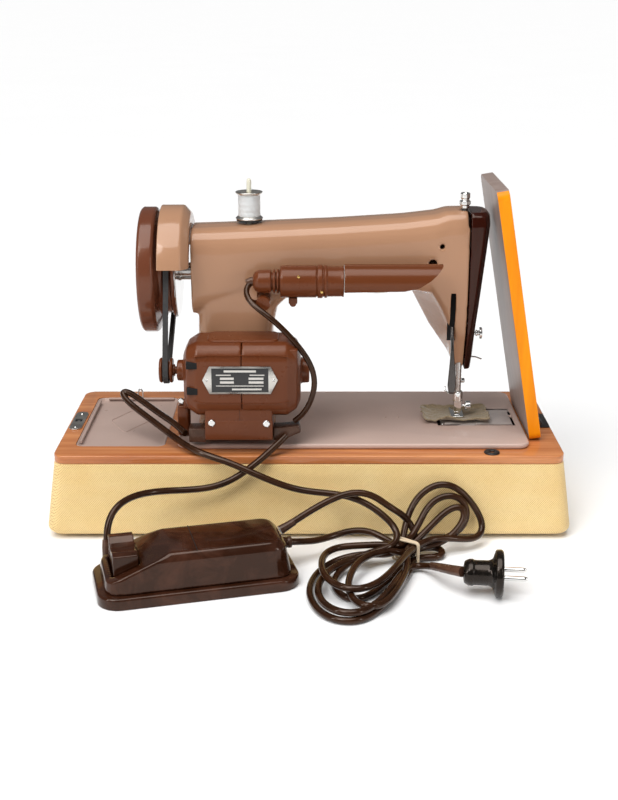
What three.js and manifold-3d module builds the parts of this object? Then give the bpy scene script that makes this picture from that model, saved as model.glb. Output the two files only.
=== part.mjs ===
// A portable electric sewing machine on a wooden case base, with its motor, lamp, foot pedal and leads.
// Millimetres, +Z up. +X runs from the handwheel to the needle head, +Y points to the operator.
import * as THREE from 'three';
import { mergeVertices } from 'three/addons/utils/BufferGeometryUtils.js';
import Module from 'manifold-3d';

const wasm = await Module();
wasm.setup();

// ---- driving dimensions ----
const GAP = 0.3;                                  // clearance kept between touching pieces
const DECK = { halfX: 265.5, halfY: 108, bottom: 81, top: 90, corner: 13 };
const CASE = { flareX: 9, flareY: 10, floor: 3.8, wall: 8, footR: 7 };
const TRAY = { x0: -247, x1: -152, y0: -79, y1: 85, floor: 86, wall: 1.2, corner: 8 };
const BED = { x0: -139, x1: 232, halfY: 89, top: 96, corner: 13 };
const NEEDLE = { x: 163, y: 3 };                  // the needle's vertical line
const PRESSER = { x: 163, y: -10 };               // the presser bar's vertical line
const SLIDE = { x0: 140, split: 183, x1: 226, y0: -31, y1: 25 };
const SHAFT = { y: 0, z: 262.5, r: 7.5 };         // main shaft, along X
const WHEEL = { x0: -177, x1: -139.5, rimR: 66.5, hubR: 51, grooveX: -147.7, grooveR: 46 };
const PILLAR = { x0: -118, x1: -36, halfY: 35, foot: BED.top + GAP };
const ARM = { x0: -123.6, x1: 167.8, wall: 5 };
const HOOK = { x: 166, z: 70, r: 17, length: 18 };
const MOTOR = { x0: -128.5, x1: -8.5, y: -74, z: 172.5, halfY: 34, bottom: 130, top: 208, split: -68.3,
  wall: 3 };
const PULLEY = { x: WHEEL.grooveX, r: 13, grooveR: 9.5 };
const BELT = { width: 6, depth: 4 };
const LAMP = { y: -57, z: 262.5, x0: -57.5, x1: 137.5, barrelR: 16.4 };
const LEAF = { pivotX: 247.5, thick: 12.8, length: 270, halfY: 65, lean: 10.1, corner: 9 };
const PEDAL = { x: -110.5, y: -213.5, turn: 14.4, halfX: 97.5, halfY: 44, flange: 12, low: 24, high: 47 };
const CORD_R = 3.5;
const PLUG = { x: 146.5, y: -240, z: 23.2, turn: -6 };
const ORIGIN_Y = -78.834;                         // middle of the standing footprint, front to back

// ---- colours and finishes ----
const look = (color, roughness, metalness) => new THREE.MeshStandardMaterial({ color, roughness, metalness });
const LOOKS = {
  enamel: look(0xb88b70, 0.3, 0), bedEnamel: look(0x8d7a72, 0.2, 0), motorEnamel: look(0x6e3c24, 0.35, 0),
  wheelEnamel: look(0x69371e, 0.25, 0), faceEnamel: look(0x3a1f16, 0.2, 0), fabric: look(0xf0d296, 0.9, 0),
  wood: look(0xc8692e, 0.25, 0), tray: look(0x958780, 0.4, 0.3), steel: look(0xb9b9ba, 0.25, 1),
  chrome: look(0xd8d8da, 0.1, 1), dark: look(0x252021, 0.4, 0.6), rubber: look(0x191817, 0.8, 0),
  bakelite: look(0x2b1510, 0.15, 0), cord: look(0x3a241c, 0.35, 0), thread: look(0xf3f3f3, 0.7, 0),
  plastic: look(0xe9e4cf, 0.4, 0), glass: look(0xf4f2ea, 0.2, 0), felt: look(0x6f6455, 1, 0),
};

const machine = new THREE.Group();
const placed = new THREE.Group();
placed.position.y = -ORIGIN_Y;
machine.add(placed);

// ---- shape helpers ----
function outward(geometry) {
  const bare = geometry.clone();
  bare.deleteAttribute('normal');
  bare.deleteAttribute('uv');
  const merged = mergeVertices(bare, 1e-4);
  const index = Array.from(merged.index.array);
  const [a, b, c] = [new THREE.Vector3(), new THREE.Vector3(), new THREE.Vector3()];
  const kept = [];
  let volume = 0;
  for (let i = 0; i < index.length; i += 3) {
    const [p, q, r] = index.slice(i, i + 3);
    if (p === q || q === r || r === p) continue;
    [a, b, c].forEach((v, k) => v.fromBufferAttribute(merged.attributes.position, index[i + k]));
    volume += a.dot(b.cross(c));
    kept.push(p, q, r);
  }
  if (volume < 0) kept.reverse();
  merged.setIndex(kept);
  return merged;
}

function solid(geometry) {
  const g = outward(geometry);
  const triVerts = Uint32Array.from(g.index.array);
  return new wasm.Manifold(new wasm.Mesh({ numProp: 3, vertProperties: g.attributes.position.array,
    triVerts }));
}

function surface(manifold) {
  const mesh = manifold.getMesh();
  const g = new THREE.BufferGeometry();
  g.setAttribute('position', new THREE.BufferAttribute(Float32Array.from(mesh.vertProperties), 3));
  g.setIndex(Array.from(mesh.triVerts));
  return g;
}

const join = (...parts) => parts.reduce((sum, part) => sum.add(part));
const cut = (body, ...tools) => tools.reduce((rest, tool) => rest.subtract(tool), body);

function add(name, shape, material, group = placed) {
  const geometry = shape instanceof THREE.BufferGeometry ? outward(shape) : surface(shape);
  geometry.computeVertexNormals();
  const mesh = new THREE.Mesh(geometry, material);
  mesh.name = name;
  group.add(mesh);
  return mesh;
}

function block(x0, x1, y0, y1, z0, z1) {
  const g = new THREE.BoxGeometry(x1 - x0, y1 - y0, z1 - z0);
  return solid(g.translate((x0 + x1) / 2, (y0 + y1) / 2, (z0 + z1) / 2));
}

// Turns a shape made along +Z (or +Y) so that it runs along the named axis.
function aim(geometry, axis, from = 'z') {
  if (from === 'y' && axis === 'x') return geometry.rotateZ(-Math.PI / 2);
  if (from === 'y' && axis === 'z') return geometry.rotateX(Math.PI / 2);
  return geometry;
}

// A solid of revolution about `axis`, from [distance along the axis, radius] pairs.
function turned(axis, centre, profile, segments = 24) {
  const closesOnAxis = profile[0][1] === 0;
  const points = profile.map(([along, r]) => new THREE.Vector2(r, along));
  if (!closesOnAxis) points.push(points[0].clone());
  return solid(aim(new THREE.LatheGeometry(points, segments), axis, 'y').translate(...centre));
}

const rod = (axis, centre, from, to, r, segments = 16) =>
  turned(axis, centre, [[from, 0], [from, r], [to, r], [to, 0]], segments);

function roundedShape(x0, x1, y0, y1, r) {
  const s = new THREE.Shape();
  s.moveTo(x0 + r, y0);
  s.lineTo(x1 - r, y0).absarc(x1 - r, y0 + r, r, -Math.PI / 2, 0);
  s.lineTo(x1, y1 - r).absarc(x1 - r, y1 - r, r, 0, Math.PI / 2);
  s.lineTo(x0 + r, y1).absarc(x0 + r, y1 - r, r, Math.PI / 2, Math.PI);
  s.lineTo(x0, y0 + r).absarc(x0 + r, y0 + r, r, Math.PI, Math.PI * 1.5);
  return s;
}

function slab(x0, x1, y0, y1, z0, z1, r, bevel = 0) {
  const shape = roundedShape(x0 + bevel, x1 - bevel, y0 + bevel, y1 - bevel, r);
  const settings = { depth: z1 - z0 - bevel, curveSegments: 4, bevelEnabled: false };
  if (bevel > 0) Object.assign(settings, { bevelEnabled: true, bevelThickness: bevel, bevelSize: bevel,
    bevelSegments: 1 });
  const g = new THREE.ExtrudeGeometry(shape, settings).translate(0, 0, z0);
  const body = solid(g);
  return bevel > 0 ? body.intersect(block(x0 - 1, x1 + 1, y0 - 1, y1 + 1, z0, z1)) : body;
}

// An outline in the XZ plane pushed along Y, or in the YZ plane pushed along X.
function prism(plane, outline, from, to) {
  const shape = new THREE.Shape(outline.map(([u, v]) => new THREE.Vector2(u, v)));
  const g = new THREE.ExtrudeGeometry(shape, { depth: to - from, bevelEnabled: false, curveSegments: 8 });
  const turn = plane === 'xz'
    ? new THREE.Matrix4().set(1, 0, 0, 0, 0, 0, 1, from, 0, 1, 0, 0, 0, 0, 0, 1)
    : new THREE.Matrix4().set(0, 0, 1, from, 1, 0, 0, 0, 0, 1, 0, 0, 0, 0, 0, 1);
  return solid(g.applyMatrix4(turn));
}

// A closed skin through rings of points, all with the same count.
function loft(rings) {
  const count = rings[0].length;
  const points = rings.flat();
  const index = [];
  for (let i = 0; i < rings.length - 1; i += 1) {
    for (let j = 0; j < count; j += 1) {
      const [a, b] = [i * count + j, i * count + (j + 1) % count];
      index.push(a, b, b + count, a, b + count, a + count);
    }
  }
  for (const [end, flip] of [[0, true], [rings.length - 1, false]]) {
    const ring = rings[end];
    const mid = [0, 1, 2].map((k) => ring.reduce((sum, p) => sum + p[k], 0) / count);
    const centre = points.push(mid) - 1;
    for (let j = 0; j < count; j += 1) {
      const [a, b] = [end * count + j, end * count + (j + 1) % count];
      index.push(...(flip ? [centre, b, a] : [centre, a, b]));
    }
  }
  const g = new THREE.BufferGeometry();
  g.setAttribute('position', new THREE.Float32BufferAttribute(points.flat(), 3));
  g.setIndex(index);
  return solid(g);
}

// A rounded rectangle as a ring of points at one height.
function ringAt(z, x0, x1, y0, y1, r, steps = 4) {
  const corners = [[x1 - r, y0 + r, -90], [x1 - r, y1 - r, 0], [x0 + r, y1 - r, 90], [x0 + r, y0 + r, 180]];
  return corners.flatMap(([cx, cy, start]) => Array.from({ length: steps + 1 }, (_, k) => {
    const t = THREE.MathUtils.degToRad(start + 90 * k / steps);
    return [cx + r * Math.cos(t), cy + r * Math.sin(t), z];
  }));
}

// A rounded cross-section of the arm at one place along X.
function armRing(x, halfY, z0, z1, power = 3.2, steps = 28) {
  return Array.from({ length: steps }, (_, k) => {
    const t = 2 * Math.PI * k / steps;
    const squash = (v) => Math.sign(v) * Math.abs(v) ** (2 / power);
    return [x, halfY * squash(Math.cos(t)), (z0 + z1) / 2 + (z1 - z0) / 2 * squash(Math.sin(t))];
  });
}

function tube(points, radius = CORD_R, spacing = 15, sides = 8) {
  const path = new THREE.CatmullRomCurve3(points.map((p) => new THREE.Vector3(...p)), false, 'centripetal');
  const section = new THREE.Shape(Array.from({ length: sides }, (_, k) => {
    const t = 2 * Math.PI * k / sides;
    return new THREE.Vector2(radius * Math.cos(t), radius * Math.sin(t));
  }));
  const steps = Math.max(4, Math.round(path.getLength() / spacing));
  return new THREE.ExtrudeGeometry(section, { steps, extrudePath: path, bevelEnabled: false });
}

// ---- case base ----
function caseBase() {
  const { halfX, halfY, bottom, corner } = DECK;
  const outline = (z, grow, r) =>
    ringAt(z, -halfX - grow * CASE.flareX, halfX + grow * CASE.flareX,
      -halfY - grow * CASE.flareY, halfY + grow * CASE.flareY, r);
  const outer = loft([outline(CASE.floor, 0.2, 12), outline(6, 0.75, 14), outline(11, 1, 15),
    outline(bottom - GAP, 0, corner)]);
  const inner = slab(-halfX + CASE.wall, halfX - CASE.wall, -halfY + CASE.wall, halfY - CASE.wall, 10, 90, 6);
  const feet = [-1, 1].flatMap((sx) => [-1, 1].map((sy) =>
    rod('z', [sx * (halfX - 18), sy * (halfY - 16), 0], 0, CASE.floor + 1, CASE.footR, 12)));
  add('case_body', join(cut(outer, inner), ...feet), LOOKS.fabric);

  const trayHole = slab(TRAY.x0, TRAY.x1, TRAY.y0, TRAY.y1, 80, 91, TRAY.corner);
  const well = slab(BED.x0 + 24, BED.x1 - 10, -BED.halfY + 17, BED.halfY - 17, 80, 91, 6);
  add('case_deck', cut(slab(-halfX, halfX, -halfY, halfY, bottom, DECK.top, corner, 1.2), trayHole, well),
    LOOKS.wood);

  const { x0, x1, y0, y1, floor, wall } = TRAY;
  const pan = slab(x0 + GAP, x1 - GAP, y0 + GAP, y1 - GAP, floor - wall, DECK.top - 0.4, TRAY.corner);
  const hollow = slab(x0 + GAP + wall, x1 - GAP - wall, y0 + GAP + wall, y1 - GAP - wall, floor, 95,
    TRAY.corner - 2);
  add('tool_tray', cut(pan, hollow), LOOKS.tray);

  const ring = new THREE.TorusGeometry(2.7, 1, 6, 12).scale(1, 2.3, 1).rotateX(Math.PI / 2);
  add('tray_ring', ring.translate(-197.5, 80.6, floor + GAP + 8.6), LOOKS.chrome);

  const keyhole = block(-260, -252, -4.5, 4.5, 85, 95);
  add('lock_plate', cut(slab(-263, -249, -29, 29, DECK.top + GAP, DECK.top + 1.4, 6.8), keyhole),
    LOOKS.steel);
  const escutcheon = [[90 + GAP, 2.4], [90 + GAP, 8.4], [91.4, 8.4], [92.2, 7], [92.2, 2.4]];
  add('lock_escutcheon', turned('z', [190, -98.6, 0], escutcheon, 18), LOOKS.dark);
}

// ---- folding extension leaf ----
const HINGE = { x: 253, z: 95.6, r: 2.6 };
function extensionLeaf() {
  const { pivotX, thick, length, halfY, lean, corner } = LEAF;
  const board = slab(-halfY, halfY, 0, length, 0, thick, corner);
  const tilt = new THREE.Matrix4().makeRotationY(THREE.MathUtils.degToRad(-lean));
  const upright = new THREE.Matrix4().set(0, 0, -1, 0, 1, 0, 0, 0, 0, 1, 0, 0, 0, 0, 0, 1);
  const pose = new THREE.Matrix4().makeTranslation(pivotX, 0,
    DECK.top + 1.8).multiply(tilt).multiply(upright);
  const leaf = solid(surface(board).applyMatrix4(pose));
  const flatFoot = block(150, 300, -80, 80, 60, DECK.top + 1.8);
  add('extension_leaf', cut(leaf, flatFoot), LOOKS.wood);

  const knuckle = (y0, y1) => rod('y', [HINGE.x, 0, HINGE.z], y0, y1, HINGE.r, 12);
  const base = join(block(HINGE.x - 2, HINGE.x + 11, -22, 22, DECK.top + GAP, DECK.top + 1.6),
    block(HINGE.x - 2, HINGE.x + 2, -22, -8, DECK.top + 1, HINGE.z),
    block(HINGE.x - 2, HINGE.x + 2, 8, 22, DECK.top + 1, HINGE.z), knuckle(-22, -8), knuckle(8, 22));
  add('leaf_hinge_base', base, LOOKS.dark);
}

// ---- bed and stitch-forming parts under it ----
function bed() {
  const { x0, x1, halfY, top, corner } = BED;
  const underside = DECK.top + GAP;
  const plate = slab(x0, x1, -halfY, halfY, underside, top, corner, 1.5);
  const pocket = block(SLIDE.x0 - GAP, x1 + 5, SLIDE.y0 - GAP, SLIDE.y1 + GAP, 93.4, 100);
  const opening = block(SLIDE.x0 + 4, SLIDE.x1 - 4, SLIDE.y0 + 4, SLIDE.y1 - 4, 80, 100);
  const pillarHole = rod('z', [-77, 0, 0], 80, 100, 14, 16);
  const hanger = block(118, 128, -14, 14, HOOK.z - 12, underside + 1);
  const hookBore = rod('x', [0, 0, HOOK.z], 110, 135, 6.2, 16);
  add('bed_plate', join(cut(plate, pocket, opening, pillarHole), cut(hanger, hookBore)), LOOKS.bedEnamel);

  const hole = rod('z', [NEEDLE.x, NEEDLE.y, 0], 90, 100, 1.5, 10);
  const feedSlots = [-5, 5].map((dx) => block(NEEDLE.x + dx - 1.4, NEEDLE.x + dx + 1.4, -13, 12, 90, 100));
  const needlePlate = block(SLIDE.x0, SLIDE.split - GAP, SLIDE.y0, SLIDE.y1, 93.7, top);
  add('needle_plate', cut(needlePlate, hole, ...feedSlots), LOOKS.steel);
  const notch = rod('z', [SLIDE.x1 - 1, 0, 0], 90, 100, 4, 12);
  add('slide_plate', cut(block(SLIDE.split, SLIDE.x1 - 1, SLIDE.y0, SLIDE.y1, 93.7, top), notch),
    LOOKS.steel);

  const rows = [-5, 5].map((dx) => block(NEEDLE.x + dx - 1, NEEDLE.x + dx + 1, -9, 8, 90, top + 0.3));
  const feedBase = block(NEEDLE.x - 7, NEEDLE.x + 7, -14, -4.5, 89, 93.2);
  const feedFork = [-5, 5].map((dx) => block(NEEDLE.x + dx - 1, NEEDLE.x + dx + 1, -14, 8, 90, 93.2));
  add('feed_dog', join(feedBase, ...feedFork, ...rows), LOOKS.steel);

  const hookProfile = [[-62, 0], [-62, 6], [HOOK.x, 6], [HOOK.x, HOOK.r], [HOOK.x + HOOK.length, HOOK.r],
    [HOOK.x + HOOK.length, 13], [HOOK.x + 8, 13], [HOOK.x + 8, 0]];
  add('rotary_hook', turned('x', [0, 0, HOOK.z], hookProfile, 20), LOOKS.steel);
}

// ---- pillar, arm and head ----
function pillarSolid(inset) {
  const { x0, x1, halfY } = PILLAR;
  const ring = (z, left, right, half, r) => ringAt(z, left + inset, right - inset, -half + inset,
    half - inset, r - inset);
  return loft([ring(inset > 0 ? 90 : PILLAR.foot, x0 - 3, x1, halfY + 3, 16),
    ring(104, x0 - 1, x1 - 2, halfY + 1, 15), ring(130, x0, x1 - 2, halfY, 14),
    ring(205, x0, x1 - 2, halfY, 14), ring(228, x0 + 1, x1 + 3, halfY, 14),
    ring(246, x0 + 1, x1 + 22, halfY, 14), ring(262, x0 + 1, x1 + 40, halfY - 2, 12)]);
}

function armSolid(inset) {
  const ring = (x, halfY, z0, z1, power) => armRing(x, halfY - inset, z0 + inset, z1 - inset, power);
  const left = ARM.x0 - (inset > 0 ? 2 : 0);
  const right = 166 + (inset > 0 ? 4 : 0);
  return loft([ring(left, 37, 218, 310.5, 4), ring(-96, 37, 220, 311.6, 3.6), ring(-44, 36, 232, 313.8, 3.4),
    ring(30, 35, 239, 317.2, 3.2), ring(100, 34.5, 243, 321.5, 3.4), ring(132, 34, 240, 325, 3.8),
    ring(145, 32, 238, 328.6, 4), ring(right, 31, 238, 329.4, 4)]);
}

// One height of the head: the side away from the operator is the narrow one.
function headRing(z, nearLeft, farLeft, right, near, far, inset) {
  const r = 5;
  const outline = [[nearLeft + r, near], [right, near], [right, far], [farLeft + r, far], [farLeft, far - r],
    [farLeft + 1, far - 2.4 * r], [nearLeft - 3, near + 2.4 * r], [nearLeft, near + r]];
  return outline.map(([x, y]) => [x + inset, y > 0 ? y - inset : y + inset, z]);
}

function headSolid(inset) {
  const s = inset;
  return loft([headRing(157 - s, 157.5, 157.5, 168, -13, 15, s), headRing(170, 155.5, 151, 168, -17, 20, s),
    headRing(184, 154, 141, 168, -22, 26, s), headRing(198, 152.5, 131, 168, -27, 30, s),
    headRing(213, 147, 123, 168, -30, 32, s), headRing(230, 138.5, 114, 168, -31.5, 33, s),
    headRing(248, 127, 104, 168, -32, 33, s), headRing(280, 120, 100, 168, -32, 33, s),
    headRing(312 - s, 118, 100, 168, -30, 31, s)]);
}

function armCasting() {
  const outside = join(pillarSolid(0), armSolid(0), headSolid(0));
  const hollow = join(pillarSolid(ARM.wall), armSolid(ARM.wall), headSolid(4));
  const keepRight = block(ARM.x1, 400, -60, 60, 100, 400);
  const keepLeft = block(-400, ARM.x0, -60, 60, 100, 400);
  const keepBase = block(-400, 400, -60, 60, 0, PILLAR.foot);
  const trimmed = cut(outside, keepRight, keepLeft, keepBase);
  const lifterSlot = block(149.8, 154.6, -45, -15, 193, 243);
  const takeUpSlot = block(153.6, 160.4, 15, 45, 214, 268);
  const oilHole = rod('y', [129.2, 0, 275.5], -50, -20, 4.2, 12);
  const screwHole = rod('y', [138.6, 0, 293.4], -50, -20, 2.4, 10);
  const nutHole = rod('z', [PRESSER.x, PRESSER.y, 0], 300, 340, 4.2, 14);
  const barHoles = [NEEDLE, PRESSER].map(({ x, y }) => rod('z', [x, y, 0], 140, 184, 3.6, 14));
  const pinHole = rod('z', [-63, 0, 0], 295, 330, 2.6, 10);
  add('arm_casting', cut(trimmed, hollow, lifterSlot, takeUpSlot, oilHole, screwHole, nutHole, ...barHoles,
    pinHole),
    LOOKS.enamel);
}

// The hood that closes the right end of the head.
function facePlate() {
  const hood = (inset) => {
    const ring = (z, half, nose) => {
      const [h, n, base] = [half - inset, nose - inset, ARM.x1 + GAP - inset];
      return [[base, -h], [n - 7, -h + 1.5], [n - 2, -h * 0.72], [n, -h * 0.3], [n, h * 0.3],
        [n - 2, h * 0.72], [n - 7, h - 1.5], [base, h]].map(([x, y]) => [x, y, z]);
    };
    return loft([ring(154 + inset, 13.5, 176), ring(170, 18, 177.8), ring(198, 27, 179.4), ring(230, 31,
      182.4),
      ring(280, 31, 187.4), ring(314 - inset * 0.5, 30, 190.8), ring(323 - inset, 27, 190),
        ring(327 - inset, 22, 187)]);
  };
  const screwHole = rod('x', [0, 0, 192], 170, 190, 2.3, 10);
  add('face_plate', cut(hood(0), hood(2.2), screwHole), LOOKS.faceEnamel);
  const knurled = [[173, 0], [173, 1.9], [181, 1.9], [181, 3.4], [183, 3.4], [183, 2.6], [185, 2.6], [185,
    6.2],
    [187.8, 6.2], [187.8, 0]];
  add('face_plate_screw', turned('x', [0, 0, 192], knurled, 16), LOOKS.chrome);
}

function beltGuard() {
  const { y, z } = SHAFT;
  const profile = [[-155.5, 68.6], [-131.5, 68.6], [-124, 60], [-124, 46], [-126.4, 46], [-126.4, 58.8],
    [-132.5, 66],
    [-155.5, 66]];
  const whole = turned('x', [0, y, z], profile, 40);
  add('belt_guard', whole.intersect(block(-170, -100, -90, 90, z + 13.5, 400)), LOOKS.enamel);
}

// ---- handwheel, main shaft and belt ----
function drive() {
  const { y, z, r } = SHAFT;
  const { x0, x1, rimR, hubR, grooveX, grooveR } = WHEEL;
  const bore = r + GAP;
  const wheel = [[x1, bore], [x1, hubR], [grooveX + 4.4, hubR], [grooveX + 3.2, grooveR], [grooveX - 3.2,
    grooveR],
    [grooveX - 4.4, hubR], [-155.5, hubR], [-159, rimR - 4], [-161, rimR], [x0 + 2, rimR], [x0, rimR - 2],
    [x0, rimR - 12], [x0 + 7, rimR - 15], [x0 + 9, 40], [-166, 36], [-166, bore]];
  add('handwheel', turned('x', [0, y, z], wheel, 40), LOOKS.wheelEnamel);
  const knob = [[-176, 0], [-176, 16], [-174.5, 18], [-166 - GAP, 18], [-166 - GAP, 0]];
  add('clutch_knob', turned('x', [0, y, z], knob, 24), LOOKS.chrome);
  const shaft = [[-165, 0], [-165, r], [143, r], [143, 15], [148, 15], [148, 0]];
  add('main_shaft', turned('x', [0, y, z], shaft, 16), LOOKS.steel);

  const vertical = [[78, 0], [78, 10], [84, 11.5], [86, 5], [236, 5], [238, 12], [245, 10], [245, 5], [253,
    5], [253, 0]];
  add('vertical_shaft', turned('z', [-77, 0, 0], vertical, 16), LOOKS.steel);

  const outline = (extra) => {
    const [R, s] = [grooveR + extra, PULLEY.grooveR + extra];
    const [dy, dz] = [MOTOR.y - y, MOTOR.z - z];
    const span = Math.hypot(dy, dz);
    const heading = Math.atan2(dz, dy);
    const wrap = Math.acos((R - s) / span);
    const arc = (cy, cz, radius, start, end, count) => Array.from({ length: count + 1 }, (_, k) => {
      const t = start + (end - start) * k / count;
      return [cy + radius * Math.cos(t), cz + radius * Math.sin(t)];
    });
    return [...arc(y, z, R, heading + wrap, heading + 2 * Math.PI - wrap, 22),
      ...arc(MOTOR.y, MOTOR.z, s, heading - wrap, heading + wrap, 8)];
  };
  const loop = (extra, half) => prism('yz', outline(extra), grooveX - half, grooveX + half);
  add('drive_belt', cut(loop(GAP + BELT.depth, BELT.width / 2), loop(GAP, BELT.width)), LOOKS.rubber);
}

// ---- motor, its bracket and terminal box ----
function motor() {
  const { x0, x1, y, z, halfY, bottom, top, split, wall } = MOTOR;
  const ring = (x, shrink, r) => {
    const flat = ringAt(0, y - halfY + shrink, y + halfY - shrink, bottom + shrink, top - shrink, r);
    return flat.map(([u, v]) => [x, u, v]);
  };
  const shell = (inset) => {
    const s = inset;
    return loft([ring(x0 + s, 14 + s, 10), ring(x0 + 4 + s, 6 + s, 14), ring(x0 + 14 + s, 0 + s, 17),
      ring(x1 - 14 - s, 0 + s, 17), ring(x1 - 4 - s, 6 + s, 14), ring(x1 - s, 14 + s, 10)]);
  };
  const boss = (from, to, r) => rod('x', [0, y, z], from, to, r, 20);
  const body = join(shell(0), boss(x0 - 8, x0 + 4, 11), boss(x1 - 3, x1 + 9, 13));
  const blindBore = rod('x', [0, y, z], -200, x1 + 6, 4.4, 14);
  const vents = [-1, 1].map((side) => block(x0 + 1, x0 + 11, y - halfY - 2, y - halfY + 8,
    z + side * 13.3 - 2.4, z + side * 13.3 + 2.4));
  const hollow = cut(body, shell(wall), blindBore, ...vents);
  const half = (from, to) => block(from, to, y - 60, y + 60, z - 60, z + 60);
  add('motor_shell_left', hollow.intersect(half(x0 - 20, split - GAP / 2)), LOOKS.motorEnamel);
  add('motor_shell_right', hollow.intersect(half(split + GAP / 2, x1 + 20)), LOOKS.motorEnamel);

  const { grooveR, r, x } = PULLEY;
  const rotor = [[x - 7, 0], [x - 7, r], [x - 4, r], [x - 3.2, grooveR], [x + 3.2, grooveR], [x + 4, r],
    [x + 7, r], [x + 7, 6], [x + 9, 6], [x + 9, 4], [-104, 4], [-104, 21], [-40, 21], [-40, 4],
    [x1 + 4, 4], [x1 + 4, 0]];
  add('motor_armature', turned('x', [0, y, z], rotor, 20), LOOKS.dark);

  const front = y - halfY;
  const plate = [[-108, z], [-101, z + 14.5], [-38.5, z + 14.5], [-31.5, z], [-38.5, z - 14.5], [-101,
    z - 14.5]];
  add('motor_nameplate', prism('xz', plate, front - 1.4, front - GAP), LOOKS.dark);

  add('motor_bracket', block(-104, -48, y + halfY + GAP, -PILLAR.halfY - GAP, 131, 196), LOOKS.motorEnamel);
  const box = join(block(-106.8, -37.3, -106, -51, 107, 127.8), block(-105, -39, -103, -51, 127,
    bottom - GAP));
  add('terminal_box', box, LOOKS.motorEnamel);
  add('connector_left', block(-124.5, -106.8 - GAP, -97, -78, 101, 116), LOOKS.bakelite);
  const rightPlug = prism('xz', [[-37, 103], [-30, 102], [-8.5, 112], [-10, 119], [-28, 117], [-37, 117]],
    -97, -79);
  add('connector_right', rightPlug, LOOKS.bakelite);
}

// ---- needle bar, presser bar and take-up ----
function head() {
  const bar = [[132, 0], [132, 4.4], [142, 4.4], [142, 3.2], [300, 3.2], [300, 0]];
  add('needle_bar', turned('z', [NEEDLE.x, NEEDLE.y, 0], bar, 14), LOOKS.steel);
  const needle = [[101.5, 0], [104, 0.7], [124, 0.8], [124, 1.3], [131.7, 1.3], [131.7, 0]];
  add('needle', turned('z', [NEEDLE.x, NEEDLE.y, 0], needle, 8), LOOKS.chrome);
  const lever = join(rod('x', [0, 14, 241], 155.4, 158.6, 6, 14), block(155.4, 158.6, 14, 57, 238.6, 243.4),
    rod('x', [0, 57, 241], 155.4, 158.6, 4.4, 12));
  add('take_up_lever', cut(lever, rod('x', [0, 58, 241], 150, 165, 1.6, 8)), LOOKS.chrome);

  const presser = [[128.5, 0], [128.5, 3.2], [322, 3.2], [322, 0]];
  add('presser_bar', turned('z', [PRESSER.x, PRESSER.y, 0], presser, 14), LOOKS.steel);
  const { x, y } = PRESSER;
  const shank = join(block(x - 4, x + 4, y - 4, y + 4, 106, 128.2), block(x - 3, x + 3, y - 3, y + 3, 101,
    107),
    rod('x', [0, y, 112], x + 3, x + 9, 1.8, 10), rod('x', [0, y, 112], x + 8.5, x + 13.5, 4.4, 14));
  const sole = slab(x - 7, x + 7, y - 9, y + 24, 100.4, 102.2, 2);
  const fork = block(NEEDLE.x - 2, NEEDLE.x + 2, NEEDLE.y - 3, 30, 99, 104);
  add('presser_foot', cut(join(shank, sole), fork), LOOKS.chrome);

  const blade = [[-31, 203], [-34, 199], [-38.4, 186], [-40.5, 170], [-42, 150], [-43, 137], [-41, 135],
    [-39, 137],
    [-38, 150], [-36.5, 170], [-33.5, 184], [-28, 194], [-24, 197], [-22, 201], [-24, 206], [-28, 207]];
  const paddle = prism('yz', blade, 147.8, 157);
  const trim = [[150.6, 210], [150.6, 182], [149, 160], [148, 145], [150, 134], [155, 134], [157, 145],
    [156, 160],
    [154, 182], [153.8, 210]];
  add('presser_lifter', paddle.intersect(prism('xz', trim, -60, 0)), LOOKS.dark);
  const nut = [[330.2, 0], [330.2, 4.6], [333, 4.6], [334, 5.8], [337.5, 5.8], [338.4, 4.4], [340, 4.4],
    [341, 5],
    [345.5, 5], [346.3, 4.2], [346.3, 0]];
  add('pressure_nut', turned('z', [x, y, 0], nut, 16), LOOKS.chrome);

  const discs = [[33.6, 0], [33.6, 5], [36, 5], [36, 13], [37.4, 14], [38.8, 13], [38.8, 3], [50, 3], [50,
    0]];
  add('tension_discs', turned('y', [146, 0, 200], discs, 20), LOOKS.chrome);
  const dial = [[42, 3.3], [42, 10], [51, 10], [53, 8.6], [53, 3.3]];
  add('tension_dial', turned('y', [146, 0, 200], dial, 20), LOOKS.chrome);
}

function operatorControls() {
  const plateHalf = 22;
  const lever = join(rod('y', [-77, 0, 190], PILLAR.halfY + GAP, 38.4, plateHalf, 24),
    block(-79.5, -74.5, 38, 56, 186, 200), rod('y', [-77, 0, 196], 50, 60, 5.5, 14));
  add('stitch_lever', lever, LOOKS.steel);

  const frame = prism('yz', [[37.4, 232], [68, 232], [68, 248], [43, 248], [37.4, 238]], -116, -98);
  add('winder_frame', cut(frame, rod('x', [0, 60, 240], -130, -90, 2.9, 12)), LOOKS.steel);
  const winder = [[-154.5, 0], [-154.5, 10], [-152.5, 11.3], [-146.5, 11.3], [-144.5, 10], [-144.5, 2.6],
    [-97, 2.6], [-97, 9],
    [-95.8, 9], [-95.8, 4], [-87, 4], [-87, 9], [-85.8, 9], [-85.8, 0]];
  add('winder_spindle', turned('x', [0, 60, 240], winder, 16), LOOKS.steel);

  const pin = [[306, 0], [306, 2.2], [315.6, 2.2], [315.6, 9], [316.6, 9], [316.6, 2.6], [357, 2.6],
    [359.5, 1.6],
    [359.5, 0]];
  add('spool_pin', turned('z', [-63, 0, 0], pin, 12), LOOKS.plastic);
  const spool = [[317, 3.2], [317, 14], [318.6, 14], [320, 11.6], [342.6, 11.6], [344.2, 14], [345.8, 14],
    [345.8, 3.2]];
  add('thread_spool', turned('z', [-63, 0, 0], spool, 20), LOOKS.thread);
}

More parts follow.
